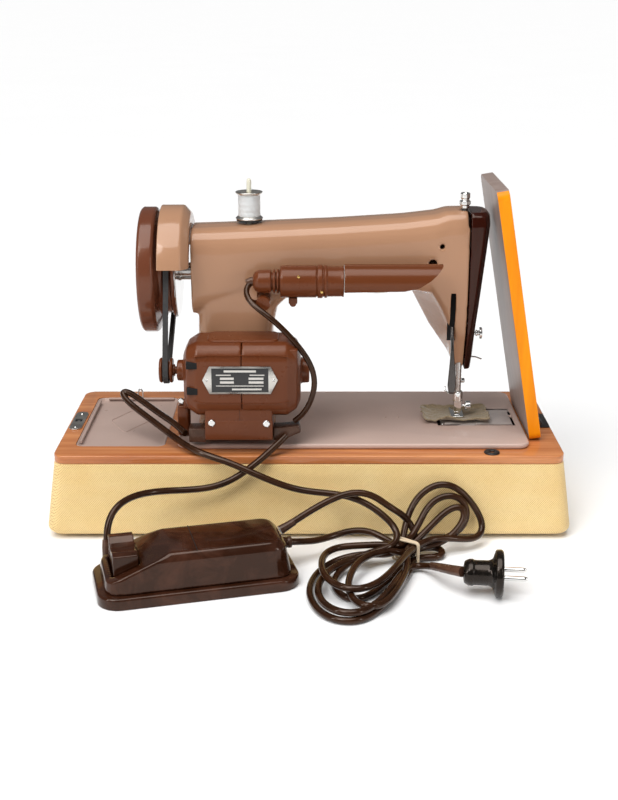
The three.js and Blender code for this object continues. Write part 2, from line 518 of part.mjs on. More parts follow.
// ---- lamp ----
function lamp() {
  const { x0, y, z, x1, barrelR } = LAMP;
  const centre = [0, y, z];
  const profile = [[x0, 0], [x0, 8], [x0 + 5, 12], [-39, 12], [-38, 9.5], [-36, 9.5], [-35, 12.6], [-32.4,
    12.6],
    [-32, 10], [-31, 10], [-29.6, barrelR], [8, barrelR], [8.6, 17.2], [17, 17.2], [18, 15.4], [35.6, 15.4],
    [35.6, 13], [24, 12], [24, 0]];
  add('lamp_housing', turned('x', centre, profile, 24), LOOKS.motorEnamel);

  const [outerR, innerR] = [17.8, 16.2];
  const barrel = cut(rod('x', centre, 36, x1, outerR, 32), rod('x', centre, 30, 160, innerR, 32));
  const below = [[20, z - 30], [20, z - 8.5], [97, z - 7], [112, z - 3.5], [124, z + 4], [132, z + 11],
    [x1 + 1, z + 18.5], [160, z + 18.5], [160, z - 30]];
  add('lamp_shade', cut(barrel, prism('xz', below, y - 40, y + 40)), LOOKS.motorEnamel);
  const bulb = [[24 + GAP, 0], [24 + GAP, 7.6], [44, 7.6], [58, 11], [80, 11], [88, 8], [92, 3], [92.6, 0]];
  add('lamp_bulb', turned('x', centre, bulb, 20), LOOKS.glass);
  const lug = join(block(-21, -12, y - 4, y + 4, z - 22.5, z - barrelR - GAP), rod('y', [-16.5, 0, z - 22.5],
    y - 4, y + 4, 3.6, 12));
  add('lamp_switch', lug, LOOKS.motorEnamel);
  const bracket = join(block(-54, -40, -49, -36.4 - GAP, z - 22, z - 13), rod('y', [-47, 0, z - 20.6],
    y - 14, -36.4 - GAP, 7.2, 16));
  add('lamp_bracket', bracket, LOOKS.motorEnamel);
}

// ---- foot pedal ----
const pedal = new THREE.Group();
pedal.position.set(PEDAL.x, PEDAL.y, 0);
pedal.rotation.z = THREE.MathUtils.degToRad(PEDAL.turn);
placed.add(pedal);

const BUTTON = { x0: -81, x1: -57, y0: -22, y1: 22 };
function footPedal() {
  const { halfX, halfY, flange, low, high } = PEDAL;
  add('pedal_base', slab(-halfX, halfX, -halfY, halfY, 0, flange - GAP, 20, 1.5), LOOKS.bakelite, pedal);

  const body = loft([ringAt(flange, -halfX + 7, halfX - 7, -halfY + 6, halfY - 6, 16),
    ringAt(high - 6, -halfX + 11, halfX - 12, -halfY + 10, halfY - 10, 14),
    ringAt(high, -halfX + 16, halfX - 18, -halfY + 15, halfY - 15, 10)]);
  const slope = prism('xz', [[-120, low - 3], [-86, low], [-28, high], [-28, 80], [-120, 80]], -60, 60);
  const well = block(BUTTON.x0 - 1, BUTTON.x1 + 1, BUTTON.y0 - 1, BUTTON.y1 + 1, 16, 80);
  const relief = rod('x', [0, 11, 26], halfX - 14, halfX - 2, 6, 14);
  add('pedal_housing', cut(join(body.subtract(slope), relief), well), LOOKS.bakelite, pedal);

  const saddle = [[BUTTON.y0, 24.5], [BUTTON.y1, 24.5], [BUTTON.y1, 50], [BUTTON.y1 - 9, 50.5],
    [BUTTON.y1 - 14, 46.5],
    [1, 43], [-7, 43.5], [-11, 46], [-15, 46.5], [BUTTON.y0, 44.5]];
  add('pedal_button', prism('yz', saddle, BUTTON.x0, BUTTON.x1), LOOKS.bakelite, pedal);
}

// ---- cloth sample under the presser foot ----
function cloth() {
  const outline = [[124, -27], [196, -28.5], [201, -8], [199, 19], [160, 21.5], [130, 22], [123, 8]];
  const shape = new THREE.Shape(outline.map(([x, y]) => new THREE.Vector2(x, y)));
  const g = new THREE.ExtrudeGeometry(shape, { depth: 3.2, bevelEnabled: false }).translate(0, 0,
    BED.top + 0.7);
  add('test_cloth', cut(solid(g), rod('z', [NEEDLE.x, NEEDLE.y, 0], 90, 110, 2.6, 12)), LOOKS.felt);
}

// ---- leads, bundle and mains plug ----
function leads() {
  const lampLead = [[-58.8, -57, 262.5], [-64, -58.5, 261.5], [-68, -62, 256], [-64, -70, 247], [-54, -78,
    240],
    [-40, -84, 232], [-25, -89, 219], [-10, -93, 203], [1, -95, 187], [6.5, -96, 172], [5.5, -96, 156],
    [1, -95, 142], [-5, -92, 131], [-11, -90, 124], [-15, -88.7, 121.8]];
  add('lamp_lead', tube(lampLead, 2.8), LOOKS.cord);
  const controllerLead = [[-24, -99.8, 109.6], [-30, -105, 104.5], [-40, -111, 96.5], [-50, -115.5, 89],
    [-60.5, -118.5, 81],
    [-73, -121.5, 72.5], [-86, -124.5, 66], [-106, -128, 62], [-131, -132, 62], [-151, -138, 63.6],
    [-166, -146, 64.8], [-179, -158, 65.5], [-189, -170, 63.5], [-196, -180, 57.5], [-199, -187, 49],
    [-199.5, -191.5, 39], [-199, -193.5, 30]];
  add('controller_lead', tube(controllerLead), LOOKS.cord);
  const motorLead = [[-128.8, -90, 108.5], [-142, -72, 113.5], [-159, -52, 116.6], [-177, -34, 123],
    [-192, -20, 128.3], [-202, -13, 132], [-208, -12, 131.5], [-205.5, -18, 127.5], [-196, -27, 121.5],
    [-182, -40, 115.5], [-164, -58, 109], [-144, -80, 102.5], [-123.3, -102.5, 96.8], [-107, -114, 94],
    [-81, -121.5, 88], [-55, -127.5, 78], [-34, -130, 69.5], [-9, -131, 61.3], [16, -133, 59.5],
    [37, -136, 58], [52, -140, 54.6], [67, -146, 48], [79, -152, 40], [85, -155.5, 35.5]];
  add('motor_lead', tube(motorLead), LOOKS.cord);
  const speedLead = [[-25.5, -173, 38.5], [-17, -169, 42], [-5, -162, 48], [9, -156, 54.5], [26, -149, 61],
    [41, -145, 65], [56, -143, 65.5], [69, -144.5, 60], [79, -149, 52.5], [84, -151.5, 48.5]];
  add('speed_lead', tube(speedLead), LOOKS.cord);
  const mainsStart = [[-19.5, -178.8, 26], [-12, -176.8, 25.7], [-4, -172, 23], [5, -165, 20], [18, -156,
    19.5], [34, -148, 22],
    [50, -144, 24], [64, -146, 23], [75, -152, 19], [84, -158, 15.5]];
  add('mains_lead', tube(mainsStart), LOOKS.cord);
  add('lead_bundle', leadBundle(), LOOKS.cord);
}

// The tied leads: floor loops on one side of the tie, and loops leaning up the case front on the other.
function leadBundle() {
  const floorLoops = [[112, -172], [96, -168], [62, -153], [36, -151], [10, -168], [-3, -205], [-3, -245],
    [8, -290], [30, -309], [52, -309], [76, -286], [97, -250], [114, -200]];
  const shape = new THREE.Shape(floorLoops.map(([x, y]) => new THREE.Vector2(x, y)));
  const flat = new THREE.ExtrudeGeometry(shape, { depth: 20, bevelEnabled: false }).translate(0, 0, 0.4);
  const raised = [[0, 6], [0, 46], [12, 60], [30, 68], [58, 68], [80, 48], [97, 34], [97, 4], [70, 2], [10,
    2]];
  const wall = prism('xz', raised, -8, 8);
  const stand = new THREE.Matrix4().makeTranslation(94, -166,
    0).multiply(new THREE.Matrix4().makeRotationZ(0.385));
  const upright = solid(surface(wall).applyMatrix4(stand));
  const sleeve = solid(tube([[102, -188, 7], [117, -197, 11], [126, -213, 16], [134, -229, 20.5], [139,
    -236.6, 22.7],
    [144.3, -239.6, 23.1]], 4.4));
  return join(solid(flat), upright, sleeve);
}

function mainsPlug() {
  const plug = new THREE.Group();
  plug.position.set(PLUG.x, PLUG.y, PLUG.z);
  plug.rotation.z = THREE.MathUtils.degToRad(PLUG.turn);
  placed.add(plug);
  const profile = [[0, 0], [0, 6], [3, 9], [6, 13.4], [10, 13.4], [12, 12], [24, 12], [28, 14], [31, 22.6],
    [36, 23],
    [38, 21], [38, 0]];
  const pins = [-9.5, 9.5].map((dy) => rod('x', [0, dy, 0], 37, 60, 2.4, 12));
  add('mains_plug', join(turned('x', [0, 0, 0], profile, 24), ...pins), LOOKS.bakelite, plug);
}

caseBase();
extensionLeaf();
bed();
armCasting();
facePlate();
beltGuard();
drive();
motor();
head();
operatorControls();
lamp();
footPedal();
cloth();
leads();
mainsPlug();

export default machine;
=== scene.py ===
"""A portable electric sewing machine on a wooden case base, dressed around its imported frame."""
import math
import bpy
import bmesh
from mathutils import Matrix, Vector, noise


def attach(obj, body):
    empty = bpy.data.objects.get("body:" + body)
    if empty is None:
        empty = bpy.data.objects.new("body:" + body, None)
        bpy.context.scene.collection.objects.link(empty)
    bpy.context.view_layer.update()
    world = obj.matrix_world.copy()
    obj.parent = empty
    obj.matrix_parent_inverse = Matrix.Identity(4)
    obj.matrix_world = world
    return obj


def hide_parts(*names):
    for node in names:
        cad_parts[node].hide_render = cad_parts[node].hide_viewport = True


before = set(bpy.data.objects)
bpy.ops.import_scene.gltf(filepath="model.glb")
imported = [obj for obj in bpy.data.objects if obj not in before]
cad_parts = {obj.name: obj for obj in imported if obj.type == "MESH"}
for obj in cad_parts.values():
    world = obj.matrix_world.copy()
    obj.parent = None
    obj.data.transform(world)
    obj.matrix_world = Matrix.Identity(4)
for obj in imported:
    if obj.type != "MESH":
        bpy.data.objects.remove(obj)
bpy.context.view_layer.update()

ORIGIN_Y = 78.834           # mm from the machine's own middle to the row frame's
MM = 0.001


def P(x, y, z):
    """A point in the machine's millimetres, as a point of the row frame."""
    return Vector((x * MM, (y + ORIGIN_Y) * MM, z * MM))


def new_object(name, data):
    """A new object in the scene."""
    made = bpy.data.objects.new(name, data)
    bpy.context.scene.collection.objects.link(made)
    return made


# ---------------------------------------------------------------- camera
camera_data = bpy.data.cameras.new("camera")
camera_data.lens = 56.88
camera_data.sensor_width = 36
camera = new_object("camera", camera_data)
camera.location = (0, -1.248166, 0.559)
camera.rotation_euler = (math.radians(71.5), 0, 0)
bpy.context.scene.camera = camera


# ---------------------------------------------------------------- materials
class Finish:
    """A node material built round one Principled shader."""

    def __init__(self, name, rough=0.4, metal=0.0, coat=0.0, coat_rough=0.05, sheen=0.0, spec=0.5,
                 tint=None):
        self.material = bpy.data.materials.new(name)
        self.material.use_nodes = True
        self.tree = self.material.node_tree
        self.shader = self.tree.nodes["Principled BSDF"]
        self.set("Roughness", rough)
        self.set("Metallic", metal)
        self.set("Coat Weight", coat)
        self.set("Coat Roughness", coat_rough)
        self.set("Sheen Weight", sheen)
        self.set("Specular IOR Level", spec)
        if tint:
            self.set("Specular Tint", (*tint, 1))
        self.where = self.node("ShaderNodeTexCoord").outputs["Object"]

    def node(self, kind, **settings):
        made = self.tree.nodes.new(kind)
        for key, value in settings.items():
            setattr(made, key, value)
        return made

    def set(self, socket, value):
        self.shader.inputs[socket].default_value = value

    def link(self, out, socket):
        self.tree.links.new(out, socket)

    def stretch(self, scale, turn=(0, 0, 0)):
        mapping = self.node("ShaderNodeMapping")
        mapping.inputs["Scale"].default_value = scale
        mapping.inputs["Rotation"].default_value = turn
        self.link(self.where, mapping.inputs["Vector"])
        return mapping.outputs["Vector"]

    def noise(self, scale, detail=3, rough=0.55, where=None, distortion=0.0):
        n = self.node("ShaderNodeTexNoise")
        n.inputs["Scale"].default_value = scale
        n.inputs["Detail"].default_value = detail
        n.inputs["Roughness"].default_value = rough
        n.inputs["Distortion"].default_value = distortion
        self.link(where or self.where, n.inputs["Vector"])
        return n.outputs["Fac"]

    def math(self, operation, a, b=None):
        n = self.node("ShaderNodeMath", operation=operation)
        for slot, value in zip(n.inputs, (a, b)):
            if value is None:
                continue
            if isinstance(value, (int, float)):
                slot.default_value = value
            else:
                self.link(value, slot)
        return n.outputs[0]

    def ramp(self, fac, *stops):
        """stops are (position, colour) pairs, a colour a grey number or an (r, g, b)."""
        n = self.node("ShaderNodeValToRGB")
        elements = n.color_ramp.elements
        while len(elements) < len(stops):
            elements.new(0.5)
        for element, (position, colour) in zip(elements, stops):
            element.position = position
            rgb = (colour,) * 3 if isinstance(colour, (int, float)) else colour
            element.color = (*rgb, 1)
        self.link(fac, n.inputs["Fac"])
        return n.outputs["Color"]

    def patches(self, low, high, scale, detail=3, rough=0.55, **more):
        """Noise spread so that it reads 0 up to low and 1 from high on."""
        return self.ramp(self.noise(scale, detail, rough, **more), (low, 0.0), (high, 1.0))

    def mix(self, fac, a, b):
        n = self.node("ShaderNodeMix", data_type="RGBA", blend_type="MIX")
        for slot, value in ((n.inputs["Factor"], fac), (n.inputs[6], a), (n.inputs[7], b)):
            if isinstance(value, (int, float)):
                slot.default_value = value
            elif isinstance(value, tuple):
                slot.default_value = (*value, 1)
            else:
                self.link(value, slot)
        return n.outputs[2]

    def axes(self, source=None):
        """The X, Y and Z of a vector, which is the object coordinate unless one is given."""
        split = self.node("ShaderNodeSeparateXYZ")
        self.link(source or self.where, split.inputs[0])
        return [split.outputs[axis] for axis in "XYZ"]

    def colour(self, out):
        self.link(out, self.shader.inputs["Base Color"])

    def rough(self, out):
        self.link(out, self.shader.inputs["Roughness"])

    def bump(self, height, strength, distance):
        n = self.node("ShaderNodeBump")
        n.inputs["Strength"].default_value = strength
        n.inputs["Distance"].default_value = distance
        self.link(height, n.inputs["Height"])
        self.link(n.outputs["Normal"], self.shader.inputs["Normal"])


def gloss_paint(name, colour, shade, rough=0.28, coat=0.6, peel=0.05, specks=0.0):
    """Stoved enamel: slow colour drift, fine orange peel, faint wear and dust in its gloss."""
    f = Finish(name, rough, coat=coat * 0.5, coat_rough=0.06, spec=0.3, tint=(1, 0.78, 0.64))
    drift = f.patches(0.3, 0.7, 9, 2)
    tone = f.mix(drift, shade, colour)
    if specks:
        spots = f.patches(0.74, 0.78, 900, 1)
        tone = f.mix(f.math("MULTIPLY", spots, specks), tone, tuple(c * 0.45 for c in colour))
    f.colour(tone)
    f.rough(f.ramp(f.noise(45, 4), (0.3, rough * 0.8), (0.75, rough * 1.3)))
    f.bump(f.noise(420, 2), peel, 0.0004)
    return f.material


def metal(name, colour, rough, brush=(1, 1, 1), streak=0.12, metalness=1.0):
    f = Finish(name, rough, metalness)
    lines = f.noise(700, 2, where=f.stretch(brush))
    smears = f.noise(60, 3)
    f.colour(f.mix(f.ramp(smears, (0.35, 0.0), (0.7, 1.0)), tuple(c * 0.86 for c in colour), colour))
    f.rough(f.ramp(smears, (0.3, rough * 0.75), (0.75, rough * 1.4)))
    f.bump(lines, streak, 0.0002)
    return f.material


def bakelite(name, colour, rough=0.12):
    f = Finish(name, rough, coat=0.25, coat_rough=0.03, spec=0.3, tint=(1, 0.75, 0.6))
    swirl = f.noise(22, 5, 0.6, distortion=0.8)
    f.colour(f.mix(f.ramp(swirl, (0.45, 0.0), (0.62, 1.0)), colour, tuple(c * 2.0 + 0.004 for c in colour)))
    f.rough(f.ramp(f.noise(120, 4), (0.35, rough * 0.7), (0.75, rough * 2.2)))
    f.bump(f.noise(260, 2), 0.03, 0.0004)
    return f.material


def wood(name, along, pale, deep, gloss=0.16):
    """Varnished veneer whose grain runs along one axis."""
    f = Finish(name, gloss, coat=0.4, coat_rough=0.05, spec=0.35)
    scale = [34.0, 34.0, 34.0]
    scale["XYZ".index(along)] = 1.6
    grain = f.noise(2.2, 6, 0.62, where=f.stretch(scale), distortion=0.5)
    fibre = f.noise(16, 4, 0.6, where=f.stretch(scale))
    pores = f.patches(0.66, 0.74, 30, 2, where=f.stretch(scale))
    tone = f.ramp(grain, (0.3, deep), (0.52, tuple((a + b) / 2 for a, b in zip(pale, deep))), (0.7, pale))
    tone = f.mix(f.math("MULTIPLY", f.ramp(fibre, (0.4, 0.0), (0.7, 1.0)), 0.35), tone, deep)
    tone = f.mix(f.math("MULTIPLY", pores, 0.3), tone, tuple(c * 0.45 for c in deep))
    f.colour(tone)
    f.rough(f.ramp(f.noise(30, 3), (0.3, gloss * 0.8), (0.8, gloss * 1.8)))
    f.bump(fibre, 0.05, 0.0003)
    return f.material


def leaf_lacquer():
    """Bright orange lacquer on the leaf's long edges, pinkish grey on its faces and ends."""
    f = Finish("leaf_lacquer", 0.38, spec=0.22)
    _, sideways, _ = f.axes(f.node("ShaderNodeNewGeometry").outputs["Normal"])
    edge = f.math("GREATER_THAN", f.math("ABSOLUTE", sideways), 0.5)
    grain = f.patches(0.35, 0.7, 3, 5, 0.6, where=f.stretch((34, 34, 1.6)))
    orange = f.mix(grain, (0.86, 0.25, 0.0), (0.96, 0.33, 0.0))
    face = f.mix(grain, (0.3, 0.22, 0.19), (0.36, 0.28, 0.25))
    f.colour(f.mix(edge, face, orange))
    f.bump(grain, 0.04, 0.0003)
    return f.material


def case_cloth():
    """Cream woven covering with staggered brown flecks."""
    f = Finish("case_cloth", 0.62, sheen=0.15, spec=0.35)
    x, y, z = f.axes()
    u = f.math("ADD", x, y)
    pitch = 2 * math.pi / 0.0023
    across = f.math("SINE", f.math("MULTIPLY", u, pitch))
    up = f.math("SINE", f.math("MULTIPLY", z, pitch))
    lattice = f.math("MULTIPLY", across, up)
    patchy = f.noise(700, 2)
    fleck = f.ramp(f.math("ADD", lattice, f.math("MULTIPLY", f.math("SUBTRACT", patchy, 0.5), 0.9)),
                   (0.3, 0.0), (0.62, 1.0))
    age = f.patches(0.35, 0.75, 14, 5, 0.6)
    cream = f.mix(age, (0.84, 0.6, 0.26), (0.91, 0.71, 0.35))
    f.colour(f.mix(f.math("MULTIPLY", fleck, 0.72), cream, (0.42, 0.21, 0.07)))
    f.bump(lattice, 0.35, 0.0004)
    return f.material


def felt_cloth():
    f = Finish("felt", 0.95, sheen=0.4, spec=0.2)
    fuzz = f.noise(900, 5, 0.7)
    weave = f.noise(420, 2, where=f.stretch((1, 3, 1)))
    f.colour(f.mix(f.ramp(fuzz, (0.3, 0.0), (0.7, 1.0)), (0.17, 0.125, 0.07), (0.42, 0.33, 0.21)))
    f.bump(f.math("ADD", fuzz, weave), 0.7, 0.0006)
    return f.material


def thread_cotton():
    f = Finish("thread", 0.5, sheen=0.5, spec=0.4)
    winds = f.math("SINE", f.math("MULTIPLY", f.axes()[2], 2 * math.pi / 0.0007))
    # painted shade: the colour turns a darker grey in the grooves between windings, in step with the bump
    f.colour(f.mix(f.ramp(winds, (0.0, 0.0), (0.6, 1.0)), (0.7, 0.72, 0.72), (0.95, 0.96, 0.95)))
    f.bump(winds, 0.5, 0.0003)
    return f.material


def belt_rubber():
    f = Finish("belt_rubber", 0.55, spec=0.4)
    f.colour(f.mix(f.noise(300, 4), (0.012, 0.012, 0.013), (0.05, 0.048, 0.046)))
    f.bump(f.noise(800, 3), 0.3, 0.0003)
    return f.material


def lead_rubber():
    """Brown moulded flex with a soft shine."""
    f = Finish("lead_rubber", 0.2, coat=0.25, coat_rough=0.08, spec=0.25, tint=(1, 0.72, 0.55))
    f.colour(f.mix(f.patches(0.35, 0.7, 40, 3), (0.018, 0.006, 0.0022), (0.04, 0.015, 0.006)))
    f.rough(f.ramp(f.noise(160, 3), (0.3, 0.14), (0.7, 0.26)))
    f.bump(f.noise(500, 2), 0.08, 0.0003)
    return f.material


def plain(name, colour, rough, coat=0.0, mottle=0.9):
    f = Finish(name, rough, coat=coat)
    f.colour(f.mix(f.noise(120, 3), tuple(c * mottle for c in colour), colour))
    f.bump(f.noise(600, 2), 0.05, 0.0002)
    return f.material


def bulb_glass():
    f = Finish("bulb_glass", 0.25, coat=0.6)
    f.colour(f.mix(f.noise(60, 2), (0.9, 0.88, 0.82), (0.97, 0.95, 0.9)))
    f.set("Subsurface Weight", 0.3)
    f.set("Subsurface Radius", (0.004, 0.004, 0.003))
    return f.material


def lined_enamel(name, outside, inside, y, z, radius):
    """Brown enamel outside and white inside a round shade whose axis lies along X."""
    f = Finish(name, 0.25, coat=0.15, spec=0.3, tint=(1, 0.78, 0.64))
    _, across, up = f.axes()
    dy, dz = f.math("SUBTRACT", across, y), f.math("SUBTRACT", up, z)
    reach = f.math("SQRT", f.math("ADD", f.math("MULTIPLY", dy, dy), f.math("MULTIPLY", dz, dz)))
    outer = f.math("GREATER_THAN", reach, radius)
    f.colour(f.mix(outer, inside, outside))
    f.bump(f.noise(420, 2), 0.05, 0.0004)
    return f.material


looks = {
    "case_cloth": case_cloth(),
    "varnished_wood": wood("varnished_wood", "X", (0.72, 0.3, 0.11), (0.42, 0.125, 0.035)),
    "leaf_wood": leaf_lacquer(),
    "belt_rubber": belt_rubber(),
    "cord": lead_rubber(),
    "thread": thread_cotton(),
    "bulb_glass": bulb_glass(),
    "felt": felt_cloth(),
    "lamp_lined": lined_enamel("lamp_lined", (0.13, 0.034, 0.01), (0.85, 0.83, 0.8),
                               P(0, -57, 0).y, 0.2625, 0.0172),
}
LIKE_LOOKS = {
    gloss_paint: {     # colour, shade, roughness, coat, orange peel, specks
        "enamel": ((0.46, 0.25, 0.145), (0.42, 0.225, 0.13), 0.2, 1.0, 0.03),
        # bed_enamel: greyer and paler than the arm's paint, partly the bed's own colour and partly painted
        # reflection of the white surroundings
        "bed_enamel": ((0.58, 0.43, 0.37), (0.53, 0.39, 0.335), 0.2, 0.8, 0.05, 0.5),
        "motor_enamel": ((0.14, 0.036, 0.011), (0.12, 0.03, 0.009), 0.3, 0.3, 0.08),
        "wheel_enamel": ((0.15, 0.046, 0.022), (0.13, 0.038, 0.018), 0.22, 0.6),
        "face_enamel": ((0.035, 0.004, 0.001), (0.026, 0.003, 0.0008), 0.12, 0.3),
        "tray_metal": ((0.5, 0.37, 0.32), (0.43, 0.315, 0.27), 0.34, 0.2, 0.1, 0.5),
    },
    metal: {           # colour, roughness, stretch of the brushing, its depth, metalness
        "steel": ((0.6, 0.59, 0.57), 0.26, (1, 12, 1)),
        "plate_steel": ((0.78, 0.7, 0.66), 0.42, (1, 12, 1), 0.12, 0.55),
        "chrome": ((0.82, 0.81, 0.79), 0.09, (1, 1, 1), 0.02),
        "dark_metal": ((0.045, 0.038, 0.035), 0.38, (1, 1, 1), 0.12, 0.6),
        "lifter_metal": ((0.1, 0.09, 0.085), 0.22, (1, 1, 1), 0.12, 0.9),
        "brass": ((0.75, 0.5, 0.16), 0.2),
        "label_silver": ((0.74, 0.71, 0.66), 0.3, (1, 8, 1)),
    },
    bakelite: {        # colour, roughness
        "bakelite": ((0.026, 0.0075, 0.003),),
        "plug_bakelite": ((0.003, 0.0025, 0.002), 0.2),
        "lead_end": ((0.05, 0.022, 0.013), 0.25),
    },
    plain: {           # colour, roughness, coat, how dark the mottling goes
        "cream_plastic": ((0.8, 0.77, 0.62), 0.35, 0.3),
        "band": ((0.78, 0.62, 0.42), 0.6, 0.0, 0.8),
        # near-black for dark joints, and painted shade filling the dark insides of slots and holes
        "vent": ((0.006, 0.005, 0.005), 0.9),
        "label_black": ((0.014, 0.013, 0.013), 0.3, 0.3),
    },
}
for paint, settings in LIKE_LOOKS.items():
    for look, values in settings.items():
        looks[look] = paint(look, *values)


# ---------------------------------------------------------------- mesh tools
def make(name, mesh, body, slot, look=None, sharp=35, stands_for=None):
    """A new piece from a mesh in the row frame, hung on its body, in its look or else the slot's, with the
    CAD node it stands for hidden.
    """
    piece = new_object(name, mesh)
    if hasattr(mesh, "set_sharp_from_angle"):
        mesh.shade_smooth()
        mesh.set_sharp_from_angle(angle=math.radians(sharp))
    mesh.materials.clear()
    mesh.materials.append(looks[look or slot])
    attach(piece, body)
    if stands_for:
        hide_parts(stands_for)
    return piece


def dressed(node, name, width, segments, body, slot, look=None):
    """A piece that is a CAD node's own shape with its edges rounded."""
    return make(name, softened(node, width, segments), body, slot, look, stands_for=node)


def from_points(points, faces):
    mesh = bpy.data.meshes.new("mesh")
    mesh.from_pydata([P(*p) for p in points], [], faces)
    bm = bmesh.new()
    bm.from_mesh(mesh)
    bmesh.ops.remove_doubles(bm, verts=bm.verts, dist=WELD_DISTANCE)
    bmesh.ops.recalc_face_normals(bm, faces=bm.faces)
    bm.to_mesh(mesh)
    bm.free()
    return mesh


def joined(*meshes):
    bm = bmesh.new()
    for mesh in meshes:
        bm.from_mesh(mesh)
        bpy.data.meshes.remove(mesh)
    result = bpy.data.meshes.new("joined")
    bm.to_mesh(result)
    bm.free()
    return result


def baked(mesh, *steps):
    """The mesh after modifiers, each given as (kind, {setting: value})."""
    helper = new_object("helper", mesh)
    for kind, settings in steps:
        modifier = helper.modifiers.new(kind, kind)
        for key, value in settings.items():
            setattr(modifier, key, value)
    graph = bpy.context.evaluated_depsgraph_get()
    graph.update()
    result = bpy.data.meshes.new_from_object(helper.evaluated_get(graph))
    bpy.data.objects.remove(helper)
    bpy.data.meshes.remove(mesh)
    return result


def copied(node):
    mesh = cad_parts[node].data.copy()
    mesh.transform(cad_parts[node].matrix_world)
    return mesh


# a point on the line that each part turns on or stands on
SHAFT = (0, 0, 262.5)
MOTOR_AXIS = (0, -74, 172.5)
LAMP_AXIS = (0, -57, 262.5)
WINDER_AXIS = (0, 60, 240)
COVER_SCREW = (0, 0, 192)
TENSION_AT = (146, 0, 200)
PRESSER_AT = (163, -10, 0)
NEEDLE_AT = (163, 3, 0)
SPOOL_AT = (-63, 0, 0)
WELD_DISTANCE = 1e-6        # metres; points closer than this become one
FLAT = ("DECIMATE", {"decimate_type": "DISSOLVE", "angle_limit": math.radians(0.6)})


def softened(node, width, segments=3, limit=28):
    """A CAD node's shape with its edges rounded."""
    weld = ("WELD", {"merge_threshold": WELD_DISTANCE})
    bevel = ("BEVEL", {"width": width * MM, "segments": segments, "limit_method": "ANGLE",
                       "angle_limit": math.radians(limit), "use_clamp_overlap": True})
    return baked(copied(node), weld, FLAT, bevel)


def moulded(mesh, voxel, rounds):
    """A shape re-meshed and relaxed, as a casting or moulding has its edges."""
    return baked(mesh, ("REMESH", {"mode": "VOXEL", "voxel_size": voxel * MM}),
                 ("SMOOTH", {"factor": 0.5, "iterations": rounds}))


def carved(mesh, *cutters):
    tool = joined(*cutters)
    holder = new_object("cutter", tool)
    result = baked(mesh, ("BOOLEAN", {"operation": "DIFFERENCE", "object": holder, "solver": "EXACT"}))
    bpy.data.objects.remove(holder)
    bpy.data.meshes.remove(tool)
    return result


def rounded_profile(points, radius, closed):
    """Replaces each corner of a profile with a short arc."""
    count = len(points)
    result = []
    for i, corner in enumerate(points):
        if not closed and i in (0, count - 1):
            result.append(corner)
            continue
        here = Vector(corner)
        before, after = Vector(points[i - 1]) - here, Vector(points[(i + 1) % count]) - here
        reach = min(radius, before.length * 0.45, after.length * 0.45)
        if reach < 0.02:
            result.append(corner)
            continue
        a, b = here + before.normalized() * reach, here + after.normalized() * reach
        for k in range(4):
            t = k / 3
            result.append(tuple((1 - t) ** 2 * a + 2 * t * (1 - t) * here + t * t * b))
    return result


def lathe(axis, centre, profile, radius=0.5, segments=72):
    """A solid of revolution from (distance along the axis, radius) pairs."""
    closed = profile[0][1] > 0
    rings = []
    for along, r in rounded_profile(profile, radius, closed):
        ring = []
        for k in range(segments):
            t = 2 * math.pi * k / segments
            u, v = r * math.cos(t), r * math.sin(t)
            offset = {"x": (along, u, v), "y": (v, along, u), "z": (u, v, along)}[axis]
            ring.append(tuple(c + o for c, o in zip(centre, offset)))
        rings.append(ring)
    return loft(rings, closed, capped=False)


def rod(axis, centre, start, end, r, radius, segments=72):
    """A plain cylinder between two places on an axis."""
    return lathe(axis, centre, [(start, 0), (start, r), (end, r), (end, 0)], radius, segments)


def ring_at(z, x0, x1, y0, y1, r, steps=10):
    corners = [(x1 - r, y0 + r, -90), (x1 - r, y1 - r, 0), (x0 + r, y1 - r, 90), (x0 + r, y0 + r, 180)]
    ring = []
    for cx, cy, start in corners:
        for k in range(steps + 1):
            t = math.radians(start + 90 * k / steps)
            ring.append((cx + r * math.cos(t), cy + r * math.sin(t), z))
    return ring


def loft(rings, closed=False, capped=True):
    """A skin over rings of points; closed joins the last ring to the first."""
    count = len(rings[0])
    points = [p for ring in rings for p in ring]
    faces = []
    for i in range(len(rings) if closed else len(rings) - 1):
        for k in range(count):
            a, b = i * count + k, i * count + (k + 1) % count
            c, d = (b + count) % len(points), (a + count) % len(points)
            faces.append((a, b, c, d))
    if capped and not closed:
        faces.append(tuple(range(count))[::-1])
        faces.append(tuple(range(len(points) - count, len(points))))
    return from_points(points, faces)


def slab(x0, x1, y0, y1, z0, z1, r, edge=1.0):
    """A rounded plate with a soft top and bottom edge."""
    rings = []
    for k in range(5):
        t = math.pi / 2 * k / 4
        rings.append((z0 + edge * (1 - math.sin(t)), edge * (1 - math.cos(t))))
    rings = rings[::-1]
    rings += [(z0 + z1 - z, grow) for z, grow in rings[::-1]]
    rings.sort()
    return loft([ring_at(z, x0 + g, x1 - g, y0 + g, y1 - g, max(r - g, 0.3)) for z, g in rings])


def block(x0, x1, y0, y1, z0, z1, edge=0.0):
    corners = [(x, y, z) for x in (x0, x1) for y in (y0, y1) for z in (z0, z1)]
    faces = [(0, 1, 3, 2), (4, 6, 7, 5), (0, 4, 5, 1), (2, 3, 7, 6), (0, 2, 6, 4), (1, 5, 7, 3)]
    mesh = from_points(corners, faces)
    if edge:
        mesh = baked(mesh, ("BEVEL", {"width": edge * MM, "segments": 3}))
    return mesh


RELAXING = 22               # passes that even out a lead's corners, as its stiffness does


def between(p, q, start, end, s):
    """The point at s on a line that is p at start and q at end."""
    return p * ((end - s) / (end - start)) + q * ((s - start) / (end - start))


